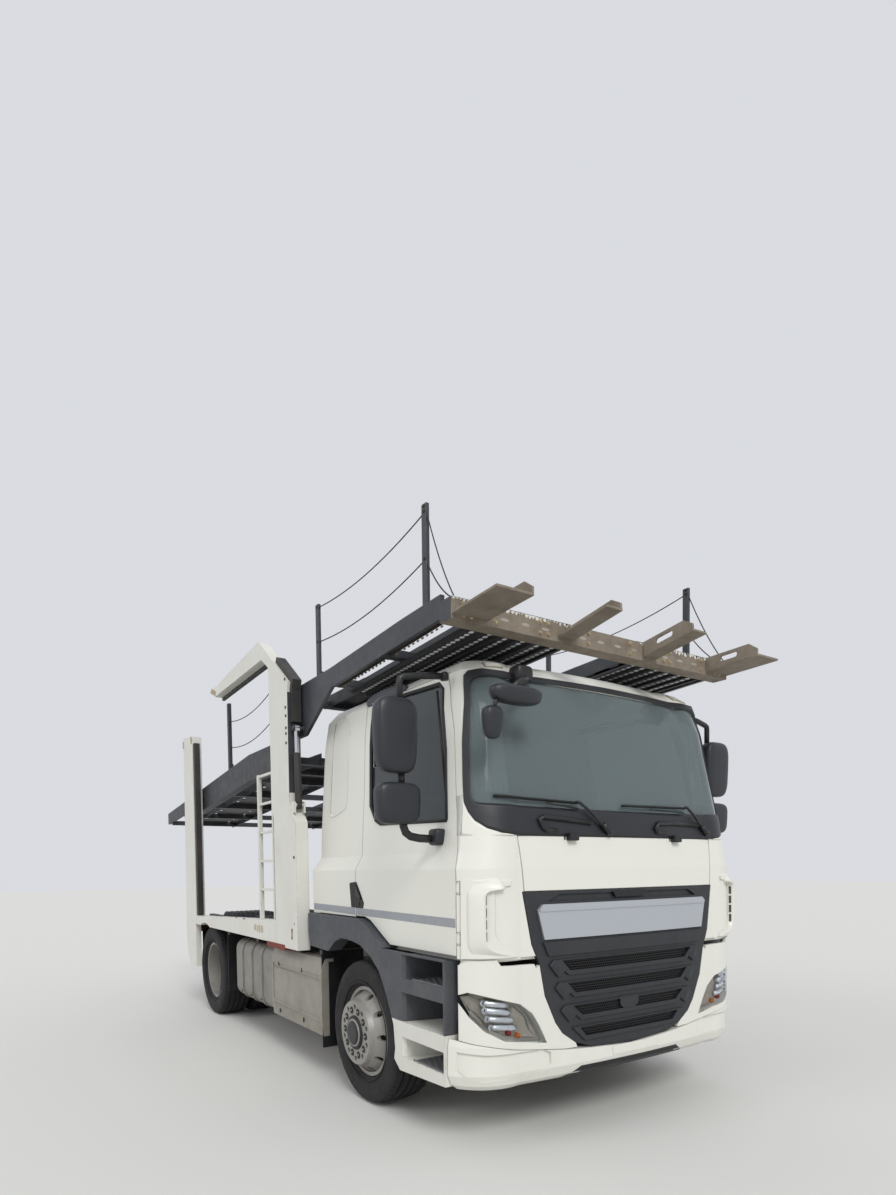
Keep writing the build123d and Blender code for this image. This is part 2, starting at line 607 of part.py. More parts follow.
# Stanchions of the deck over the cab: Y, height of the foot and of the top
STANCHIONS = ((712, DECK_Z + 26, DECK_Z + 620), (-800, DECK_Z + 45, DECK_Z + 700))
# Front cross-member of that deck: Y of its front and back
HEAD_Y = (-1110, -1003)
# Forks ahead of the cross-member: X inside and outside, rise over the length
FORKS = ((300, 425, 60), (935, 1168, 12))
FORK_T = 12


def fork(row):
    """A folded fork: flat foot with an upright flange, a long hole in the flange."""
    low_x, high_x, rise = row
    root = HEAD_Y[0] - FIT
    foot = block((low_x, high_x), (FORK_TIP, root), (D, D + FORK_T))
    flange = along_x(sheet(((FORK_TIP, D), (FORK_TIP, D + 45), (FORK_TIP + 60, D + 90), (root, D + 90), (root, D))),
                     (low_x, low_x + FORK_T))
    hole = along_x(Pos(FORK_TIP + 210, D + 52) * SlotOverall(130, 34), (low_x - 5, low_x + 20))
    shape = foot + flange - hole
    tilt = degrees(atan2(rise, root - FORK_TIP))
    shape = Pos(0, root, D) * Rot(-tilt, 0, 0) * Pos(0, -root, -D) * shape
    return shape - block((-BIG, BIG), (root, 0), (D - BIG, D + BIG))


def build_decks():
    # Deck over the cab: side panels with the pivots, two tracks, cross-members and inner rails
    x = DECK_HALF - 22
    panel = along_x(sheet(CAB_DECK_PANEL), (x, DECK_HALF + 5))
    y, z = CAB_DECK_PIVOT
    panel += rod((x + 2, y, z), (POST_IN + 58, y, z), PIVOT_R)
    y, z = LIFT_TOP
    panel += rod((x + 12, y, z), (LIFT_X + 30, y, z), LIFT_PIN_R)
    half = panel + track((1150, D + 12), (430, D + 12), False) + track((HEAD_Y[1] - 1, D + 54), (430, D + 8), True)
    for y, z in ((1100, D - 32), (420, D - 32), (-300, D - 14)):
        half += block((0, x + 2), (y - 40, y + 40), (z, z + 46))
    rail = sheet(((HEAD_Y[1] - 1, D + 25), (420, D - 28), (420, D + 2), (HEAD_Y[1] - 1, D + 55)))
    half += along_x(rail, (x - 58, x + 1))
    deck = both(half)
    beam = block((-POST_IN - 2, POST_IN + 2), HEAD_Y, (D - 22, D + 90))
    beam -= block((-POST_IN + 10, POST_IN - 10), (HEAD_Y[0] + 6, HEAD_Y[1]), (D - 14, D + 82))
    deck += beam
    for y, low, top in STANCHIONS:
        post = block((x - 20, x + 1), (y - 24, y + 24), (low, top))
        post += block((x - 26, x - 19), (y - 34, y + 34), (low, D + 130))
        deck += both(post)
    keep("over_cab_deck", deck)
    keep("deck_forks", *[pair(fork(row)) for row in FORKS])

    # Sloping deck behind the cab
    x = DECK_HALF - 30
    panel = along_x(sheet(REAR_DECK_PANEL), (x, DECK_HALF))
    panel += along_x(sheet(REAR_DECK_FLANGE), (x - 50, x + 1))
    y, z = REAR_DECK_PIVOT
    panel += rod((x + 10, y, z), (POST_IN + 58, y, z), PIVOT_R)
    panel += along_x(sheet(REAR_DECK_EAR), (x, DECK_HALF))
    half = panel + track((1240, D - 420), (REAR_DECK_KNEE + 7, D - 420), True)
    half += track((REAR_DECK_KNEE - 3, D - 420), (REAR_DECK_TIP - 5, D - 688), True)
    slope = 268 / (REAR_DECK_TIP - REAR_DECK_KNEE)
    for y in REAR_DECK_BEAMS:
        z = D - 420 - slope * max(0, y - REAR_DECK_KNEE)
        half += block((0, x + 10), (y - 40, y + 40), (z - 50, z + 4))
    y = REAR_STANCHION_Y
    half += block((x - 30, x + 1), (y - 25, y + 25), (D - 480, D + 360))
    half += block((x - 36, x - 29), (y - 35, y + 35), (D - 480, D - 250))
    keep("rear_upper_deck", both(half))


def build_lifts():
    start = Vector(LIFT_X, *LIFT_BASE)
    end = Vector(LIFT_X, *LIFT_TOP)
    way = (end - start).normalized()
    mouth = start + way * 400
    barrel = rod(start + way * 20, mouth, 27)
    barrel += rod((LIFT_X - 18, *LIFT_BASE), (LIFT_X + 18, *LIFT_BASE), 30)
    barrel -= rod((LIFT_X - 30, *LIFT_BASE), (LIFT_X + 30, *LIFT_BASE), LIFT_PIN_R + RUN)
    barrel -= rod(start + way * 60, mouth + way, 18 + RUN)
    keep("lift_barrels", pair(barrel))
    stem = rod(start + way * 90, end - way * 10, 18)
    stem += rod((LIFT_X - 18, *LIFT_TOP), (LIFT_X + 18, *LIFT_TOP), 30)
    stem -= rod((LIFT_X - 30, *LIFT_TOP), (LIFT_X + 30, *LIFT_TOP), LIFT_PIN_R + ROD_EYE_PLAY)
    keep("lift_rods", pair(stem))


# Front outlines in (X, Z), each for the left half or the whole width
GRILLE = ((812, 1433), (760, 1141), (710, 1026), (675, 850), (600, 690), (549, 624), (449, 557), (329, 519), (0, 500))
HEADLAMP = ((1163, 875), (1118, 899), (952, 851), (849, 823), (764, 762), (713, 683), (663, 585), (954, 633),
            (1055, 691), (1113, 763))
SURROUND = ((738, 1008), (748, 1034), (970, 1040), (992, 1074), (1118, 1074), (1138, 1046), (1287, 1036), (1287, 680),
            (1103, 621), (832, 569), (537, 533), (440, 530), (452, 557), (552, 624), (603, 690), (678, 850), (713, 1026))
SILVER = ((690, 1361), (722, 1330), (682, 1165), (-682, 1165), (-722, 1330), (-690, 1361))
SILVER_TOP = ((690, 1361), (716, 1337), (708, 1322), (-708, 1322), (-716, 1337), (-690, 1361))
SCOOP = ((1300, 1500), (900, 1492), (905, 1470), (975, 1462), (1000, 1430), (1004, 1215), (985, 1165), (885, 1112),
         (870, 1085), (1300, 1078))
LAMP_RECESS = ((1182, 575), (1182, 500), (1140, 440), (1060, 415), (700, 432), (640, 470), (640, 530), (690, 552),
               (1050, 560))
# Grille strips: height of the middle, half width at the top, half width at the bottom, half height
STRIPS = ((1010, 560, 500, 30), (880, 520, 460, 30), (746, 480, 410, 30), (617, 430, 380, 26))


def mirrored_outline(points):
    """A half outline joined with its mirror image; the half starts high outside and ends on the centreline."""
    other = [(-x, z) for x, z in reversed(points) if x != 0]
    return tuple(points) + tuple(other)


def nose_solid(inset):
    """The front of the cab below the hood, moved inwards by inset."""
    low = along_z(ring(RINGS[0], inset, 0), (480, CAB_FLOOR))
    high = loft([ring(RINGS[0], inset, CAB_FLOOR), ring(RINGS[1], inset, RINGS[1][0])], ruled=True)
    return low + high


# Bumper sections, lowest first: height and how far the outline is moved in
BUMPER_ROWS = ((356, 60), (385, 22), (440, 0), (600, 4), (700, 26))
BUMPER_T = 70


def bumper_solid(inset):
    return loft([ring(BUMPER_RING, inset + move, z) for z, move in BUMPER_ROWS], ruled=True)


def swept(outline, amount=0):
    """A tool body: an (X, Z) outline, made larger by amount, swept along Y over the front of the truck."""
    face = sheet(outline)
    if amount:
        face = offset(face, amount, kind=Kind.INTERSECTION)
    return along_y(face, (-BIG, -1104))


def build_front(corner, face, back):
    shell = face - back
    set_back = nose_solid(15)
    proud = nose_solid(-12)
    proud_more = nose_solid(-20)

    # Grille: slot above the bar, roll below it, mesh strips set back behind lips with spread ends
    grille = shell & swept(mirrored_outline(GRILLE))
    grille -= (face - set_back) & swept(((-560, 1415), (560, 1415), (640, 1375), (-640, 1375)))
    raised = swept(((-690, 1150), (690, 1150), (655, 1072), (-655, 1072)))
    for z, top, bottom, tall in STRIPS:
        raised += swept(((-top - 55, z + tall + 8), (top + 55, z + tall + 8), (bottom + 10, z - tall - 26),
                         (-bottom - 10, z - tall - 26)))
    grille += (proud - face) & raised
    for z, top, bottom, tall in STRIPS:
        pocket = swept(((-top, z + tall), (top, z + tall), (bottom, z - tall), (-bottom, z - tall)))
        grille -= (proud_more - set_back) & pocket
    keep("front_grille", grille)
    bar = (proud - face) & swept(SILVER)
    keep("silver_bar", bar + ((proud_more - proud) & swept(SILVER_TOP)))

    # Headlamps: a lens flush with the surround, and a cup behind it
    lamp = swept(HEADLAMP)
    surround = (shell & swept(SURROUND)) - lamp
    deep = nose_solid(75)
    cup = ((back - deep) & swept(HEADLAMP, 8)) - ((back - nose_solid(70)) & lamp)
    keep("headlamp_surrounds", pair(surround + cup))
    keep("headlamps", pair((face - nose_solid(5)) & swept(HEADLAMP, -FIT)))

    # Bumper with blank lamp recesses and a low mouth
    outer = bumper_solid(0)
    bumper = (outer - bumper_solid(BUMPER_T)) & block((-BIG, BIG), (-BIG, -1055), (0, BIG))
    band = sheet(((-1300, 356), (1300, 356), (1300, 677), (1103, 618), (832, 566), (537, 530), (330, 515), (0, 496),
                  (-330, 515), (-537, 530), (-832, 566), (-1103, 618), (-1300, 677)))
    bumper = bumper & along_y(band, (-BIG, 0))
    bumper -= both((outer - bumper_solid(14)) & swept(LAMP_RECESS))
    bumper -= (outer - bumper_solid(45)) & swept(((-450, 350), (-380, 418), (380, 418), (450, 350)))
    keep("front_bumper", bumper)

    # Corner panels with the raised air deflector
    scoop = (nose_solid(-14) - face) & along_y(sheet(SCOOP), (-BIG, -1132))
    keep("corner_panels", pair(corner + mirror(scoop, Plane.YZ)))


def build_steps_and_arches():
    # Entry steps ahead of the front wheel: slate housing above, painted panels below
    housing = block((800, 1186), (-1050, -592), (655, CAB_FLOOR))
    skin = sheet(((-1050, 655), (-455, 655), (-404, 754), (-352, 842), (-288, 928), (-288, 1070), (-1050, 1070)))
    upper = housing + along_x(skin, (1186, 1200))
    pocket = sheet(((900, -1034), (1300, -1034), (1300, -480), (1180, -600), (900, -680)))
    upper -= along_z(pocket, (915, 1056))
    upper -= along_z(pocket, (655, 830))
    tread = sheet(((900, -1034), (1196, -1034), (1196, -700), (1150, -640), (900, -690)))
    upper += along_z(tread, (905, 917))
    keep("entry_steps", pair(upper))
    skin = sheet(((-1050, 372), (-548, 351), (-478, 408), (-492, 473), (-474, 619), (-455, 654.7), (-1050, 654.7)))
    lower = block((800, 1186), (-1050, -592), (372, 654.7)) + along_x(skin, (1186, 1200))
    lower -= along_z(pocket, (440, 560))
    lower += along_z(tread, (432, 442))
    keep("step_panels", pair(lower))
    arch = sheet(((-288, 1070), (-288, 928), (-176, 1006), (-34, 1065), (114, 1087), (258, 1089), (361, 1059),
                  (487, 977), (815, 990), (845, 1100), (845, 1236), (-12, 1236), (-96, 1214), (-232, 1142),
                  (-352, 1078), (-352, 1071)))
    trim = along_x(arch, (1094.3, 1200))
    keep("wheel_arch_trims", pair(trim))


def build_cab_inside():
    seats = []
    for x in (-620, 620):
        seat = block((x - 240, x + 240), (-250, 250), (1120, 1560)) + block((x - 230, x + 230), (180, 300), (1500, 2250))
        seats.append(seat)
    bunk = block((-1020, 1020), (345, 740), (1120, 1640))
    keep("cab_seats", seats, bunk)
    dash = block((-1020, 1020), (-1085, -700), (1500, 1800)) + block((-1000, 1000), (-1060, -960), (1120, 1510))
    column = rod((620, -760, 1640), (620, -520, 1790), 25)
    wheel = Plane(origin=(620, -520, 1790), z_dir=(0, 0.62, 0.78)) * Torus(225, 16)
    spokes = Plane(origin=(620, -520, 1790), z_dir=(0, 0.62, 0.78)) * Box(450, 30, 14)
    keep("dashboard", dash, (column + wheel + spokes) - dash)


MIRROR_TUBE_X = -1330


def rounded(x, y, z, radius):
    """A box with all its edges rounded."""
    shape = block(x, y, z)
    return fillet(shape.edges(), radius)


def build_mirrors(door, glass, door_filler):
    big = rounded((-1510, -1247), (-925, -805), (upper(2083), upper(2490)), 42)
    small = rounded((-1507, -1232), (-920, -805), (1807, upper(2036)), 42)
    x = MIRROR_TUBE_X
    arm = rod((x, -835, upper(2460)), (x, -835, upper(2672)), 17)
    arm += rod((x, -835, upper(2020)), (x, -835, upper(2100)), 20)
    arm += rod((x, -835, upper(2655)), (-1040, -858, upper(2640)), 14)
    arm += rod((x, -850, 1822), (x + 40, -850, 1740), 19) + rod((x + 40, -850, 1740), (-1090, -880, 1728), 17)
    arm += rounded((-1165, -1080), (-930, -835), (1695, 1790), 20)
    shape = (big + small + arm) - door - glass - door_filler
    return [solid for solid in shape.solids() if solid.bounding_box().min.X < -1200]


def build_front_details(outer):
    arm = rod((-860, -1000, upper(2640)), (-840, -1270, upper(2540)), 15)
    arm += rounded((-920, -800), (-1130, -1010), (upper(2600), upper(2600) + 90), 22)
    arm += rod((-840, -1270, upper(2545)), (-860, -1285, upper(2490)), 17)
    arm += rounded((-1061, -709), (-1345, -1235), (upper(2430), upper(2520)), 34)
    arm += rounded((-1106, -978), (-1335, -1245), (upper(2232), upper(2399)), 30)
    arm += rod((-1030, -1290, upper(2380)), (-1000, -1290, upper(2450)), 12)
    keep("front_mirror", arm - outer)
    wipers = []
    for x, y in ((-600, -1262), (200, -1268)):
        wipers.append(rod((x, -1225, 1800), (x, y, 1800), 16) + rod((x, y, 1800), (x + 450, y, 1835), 9) - outer)
    keep("scuttle_panel", parts["scuttle_panel"], wipers)


def build_all():
    outer, shell, outer_layer, inner_layer, glass_out, glass_in, hood, corner = build_cab()
    door, glass = build_doors(outer_layer, inner_layer, glass_out, glass_in)
    nose_outer = nose_solid(0)
    nose_inner = nose_solid(SKIN)
    for z in HINGES:
        door += hinge_eye(z)
    front = parts["cab_front"][0]
    pockets = [hinge_pocket(z) for z in HINGES]
    ears = [hinge_ears(z) for z in HINGES]
    for pocket, ear in zip(pockets, ears):
        front = front - both(pocket) + both(ear)
        z_mid = pocket.center().Z
        x, y = DOOR_AXIS
        corner -= block((x - 21, x + 20), (y - 16, -1099), (z_mid - 37, z_mid + 37))
    keep("cab_front", front)
    corner -= front
    y, z = HOOD_AXIS
    ear = block(HOOD_HINGE_X, (y, y + 24), (z - 16, z - 1)) + rod((HOOD_HINGE_X[0], y, z), (HOOD_HINGE_X[1], y, z), 10)
    a, b = HOOD_HINGE_X
    notch = block((a - 21, b + 21), (y - 20, y + 60), (z - 20, z + 10))
    hood = hood - both(notch) + both(ear) + both((hood & block((a, b), (y - 20, y + 60), (z - 20, z + 10))))
    hood -= both(rod((HOOD_HINGE_X[0] - 30, y, z), (HOOD_HINGE_X[1] + 30, y, z), 5 + RUN))
    keep("hood_panel", hood)
    scuttle = parts["scuttle_panel"][0]
    for x in ((a - 16, a - 1), (b + 1, b + 16)):
        scuttle += both(block(x, (y - 9, y + 30), (z - 9, z + 16)))
    scuttle += both(rod((a - 16, y, z), (b + 16, y, z), 5))
    keep("scuttle_panel", scuttle)
    keep("door_right", door)
    keep("door_left", mirror(door, Plane.YZ))
    keep("door_glass_right", glass)
    keep("door_glass_left", mirror(glass, Plane.YZ))
    mirrors = build_mirrors(door, glass, glass_in)
    keep("mirrors_right", mirrors)
    keep("mirrors_left", [mirror(item, Plane.YZ) for item in mirrors])
    build_front(corner, nose_outer, nose_inner)
    build_wheels()
    build_axles()
    build_chassis(nose_inner, bumper_solid(BUMPER_T))
    build_side_equipment()
    build_superstructure()
    build_decks()
    build_lifts()
    build_steps_and_arches()
    build_cab_inside()
    build_front_details(outer)


build_all()
os.makedirs("parts", exist_ok=True)
for name, solids in parts.items():
    moved = [Pos(0, -MID_Y, 0) * solid for solid in solids]
    node = Compound(moved) if len(moved) > 1 else moved[0]
    node.label = name
    export_step(node, f"parts/{name}.step")
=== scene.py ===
import json
import math
import random

import bpy
from mathutils import Matrix, Vector


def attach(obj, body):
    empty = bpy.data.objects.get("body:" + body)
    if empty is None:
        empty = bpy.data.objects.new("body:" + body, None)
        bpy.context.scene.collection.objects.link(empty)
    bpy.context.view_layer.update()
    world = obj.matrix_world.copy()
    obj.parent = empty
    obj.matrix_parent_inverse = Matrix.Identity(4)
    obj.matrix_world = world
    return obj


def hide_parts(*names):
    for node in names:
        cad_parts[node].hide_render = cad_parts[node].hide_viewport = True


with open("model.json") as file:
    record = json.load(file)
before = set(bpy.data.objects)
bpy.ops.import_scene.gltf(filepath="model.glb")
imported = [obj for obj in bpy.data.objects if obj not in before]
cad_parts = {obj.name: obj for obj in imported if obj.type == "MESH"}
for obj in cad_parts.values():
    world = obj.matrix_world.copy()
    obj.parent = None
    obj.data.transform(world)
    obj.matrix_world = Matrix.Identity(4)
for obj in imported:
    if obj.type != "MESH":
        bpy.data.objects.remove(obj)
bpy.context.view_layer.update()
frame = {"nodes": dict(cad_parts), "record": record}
NODES = frame["nodes"]

# Driving dimensions in millimetres from the front axle: +Y to the rear, +X to the truck's left,
# Z = 0 on the ground
MM = 0.001
MID_Y = 2132
WHEELBASE = 3600
AXLE_Z = 480
FRONT_TYRE_X = 1025
REAR_TYRE_XS = (1052, 707)
POST_OUT = 1270
DECK_Z = 2900

# Cab rings: height, half width at the rear and at the front edge, Y of that edge, shoulder X and Y, nose Y
CAB_RINGS = (
    (1060, 1150, 1150, -1100, 835, -1262, -1288),
    (1560, 1150, 1150, -1100, 835, -1243, -1268),
    (1655, 1078, 1125, -1095, 832, -1233, -1258),
    (1860, 1072, 1094, -1085, 800, -1202, -1238),
    (2480, 1032, 1026, -985, 755, -1080, -1125),
    (2680, 1004, 987, -930, 720, -1010, -1052),
    (2760, 940, 905, -835, 650, -905, -950),
    (2790, 850, 790, -710, 560, -775, -825),
)
CAB_REAR_Y = 850
CAB_HALF_W = 1150
CORNER_SAG = 0.17

# The camera as the photograph was taken
EYE = (-3259, -4211, 1570)
CAMERA_YAW = 33.46
CAMERA_PITCH = -2.64
CAMERA_ROLL = -0.64
PHOTO_SIZE = (896, 1195)
FOCAL_PX = 701.7
HORIZON_DROP_PX = 302.5
SENSOR_MM = 36.0


def at(x, y, z):
    """A point measured in millimetres from the front axle, as metres in the frame."""
    return Vector((x, y - MID_Y, z)) * MM


def rgb(red, green, blue):
    """A colour written as it looks on screen, 0 to 255, turned into linear light."""
    return tuple(((c / 255 + 0.055) / 1.055) ** 2.4 if c > 10 else c / 255 / 12.92
                 for c in (red, green, blue))


# Materials


def shader(name, colour, rough=0.5, metal=0.0, **sockets):
    """A material whose Principled sockets hold plain values."""
    material = bpy.data.materials.new(name)
    material.use_nodes = True
    bsdf = material.node_tree.nodes["Principled BSDF"]
    bsdf.inputs["Base Color"].default_value = (*colour, 1.0)
    bsdf.inputs["Roughness"].default_value = rough
    bsdf.inputs["Metallic"].default_value = metal
    for socket, value in sockets.items():
        bsdf.inputs[socket.replace("_", " ")].default_value = value
    return material


def place(tree):
    """Where a point lies on the object, in metres."""
    return tree.nodes.new("ShaderNodeTexCoord").outputs["Object"]


def noise(tree, scale, detail=4.0, stretch=None):
    """A noise value from 0 to 1; stretch scales it along X, Y and Z."""
    node = tree.nodes.new("ShaderNodeTexNoise")
    node.inputs["Scale"].default_value = scale
    node.inputs["Detail"].default_value = detail
    node.inputs["Roughness"].default_value = 0.62
    coords = place(tree)
    if stretch:
        mapping = tree.nodes.new("ShaderNodeMapping")
        mapping.inputs["Scale"].default_value = stretch
        tree.links.new(coords, mapping.inputs["Vector"])
        coords = mapping.outputs["Vector"]
    tree.links.new(coords, node.inputs["Vector"])
    return node.outputs["Fac"]


def ramp(tree, value, low, high, top=1.0, bottom=0.0):
    """A value that rises from bottom at low to top at high."""
    node = tree.nodes.new("ShaderNodeMapRange")
    node.clamp = True
    for socket, number in (("From Min", low), ("From Max", high), ("To Min", bottom), ("To Max", top)):
        node.inputs[socket].default_value = number
    tree.links.new(value, node.inputs["Value"])
    return node.outputs["Result"]


def maths(tree, operation, first, second):
    """Two values or numbers joined by a maths operation."""
    node = tree.nodes.new("ShaderNodeMath")
    node.operation = operation
    for value, socket in ((first, node.inputs[0]), (second, node.inputs[1])):
        if isinstance(value, (int, float)):
            socket.default_value = value
        else:
            tree.links.new(value, socket)
    return node.outputs[0]


def mix(tree, factor, first, second):
    """Blends two colours, sockets or tuples, by a factor socket."""
    node = tree.nodes.new("ShaderNodeMix")
    node.data_type = "RGBA"
    tree.links.new(factor, node.inputs["Factor"])
    for value, socket in ((first, node.inputs["A"]), (second, node.inputs["B"])):
        if isinstance(value, tuple):
            socket.default_value = (*value, 1.0)
        else:
            tree.links.new(value, socket)
    return node.outputs["Result"]


def axis_of(tree, axis):
    """The X, Y or Z of a point on the object, in metres."""
    split = tree.nodes.new("ShaderNodeSeparateXYZ")
    tree.links.new(place(tree), split.inputs["Vector"])
    return split.outputs[axis]


def soft_edges(tree, radius):
    """Rounds hard edges in the shading and tells where they are, from 0 to 1."""
    bevel = tree.nodes.new("ShaderNodeBevel")
    bevel.samples = 4
    bevel.inputs["Radius"].default_value = radius
    geometry = tree.nodes.new("ShaderNodeNewGeometry")
    dot = tree.nodes.new("ShaderNodeVectorMath")
    dot.operation = "DOT_PRODUCT"
    tree.links.new(bevel.outputs["Normal"], dot.inputs[0])
    tree.links.new(geometry.outputs["Normal"], dot.inputs[1])
    return bevel.outputs["Normal"], ramp(tree, dot.outputs["Value"], 0.99, 0.86)


def worn(name, colour, dirt, rough=0.5, metal=0.0, amount=0.4, scale=3.0, bump=0.0, grain=160.0, edge=None,
         edge_amount=0.6, radius=0.004, specks=None, speck_size=0.70, low_dirt=0.0, uneven=0.1):
    """Paint, metal or plastic with blotches, run-down streaks, worn edges, specks and a dusty lower part."""
    material = shader(name, colour, rough, metal)
    tree = material.node_tree
    bsdf = tree.nodes["Principled BSDF"]
    blotches = ramp(tree, noise(tree, scale, 6.0), 0.42, 0.78, amount)
    streaks = ramp(tree, noise(tree, scale * 2.5, 4.0, (3.0, 3.0, 0.35)), 0.50, 0.82, amount * 0.8)
    result = mix(tree, maths(tree, "MAXIMUM", blotches, streaks), colour, dirt)
    if low_dirt:
        height = ramp(tree, axis_of(tree, "Z"), 1.25, 0.35, low_dirt)
        patchy = ramp(tree, noise(tree, 6.0), 0.3, 0.7)
        result = mix(tree, maths(tree, "MULTIPLY", height, patchy), result, dirt)
    if specks:
        spots = ramp(tree, noise(tree, 26.0, 5.0), speck_size, speck_size + 0.05)
        result = mix(tree, spots, result, specks)
    normal, edges = soft_edges(tree, radius)
    if edge:
        chips = ramp(tree, noise(tree, 18.0, 5.0), 0.44, 0.60, edge_amount)
        result = mix(tree, maths(tree, "MULTIPLY", edges, chips), result, edge)
    tree.links.new(result, bsdf.inputs["Base Color"])
    if uneven:
        highest, lowest = min(1.0, rough + uneven), max(0.02, rough - 0.06)
        patchy = ramp(tree, noise(tree, 14.0, 4.0), 0.3, 0.7, highest, lowest)
        tree.links.new(patchy, bsdf.inputs["Roughness"])
    if bump:
        node = tree.nodes.new("ShaderNodeBump")
        node.inputs["Strength"].default_value = bump
        node.inputs["Distance"].default_value = 0.002
        tree.links.new(noise(tree, grain, 3.0), node.inputs["Height"])
        tree.links.new(normal, node.inputs["Normal"])
        normal = node.outputs["Normal"]
    tree.links.new(normal, bsdf.inputs["Normal"])
    return material


RUST = rgb(104, 56, 32)
DARK_RUST = rgb(66, 42, 30)
SLATE = rgb(45, 49, 56)


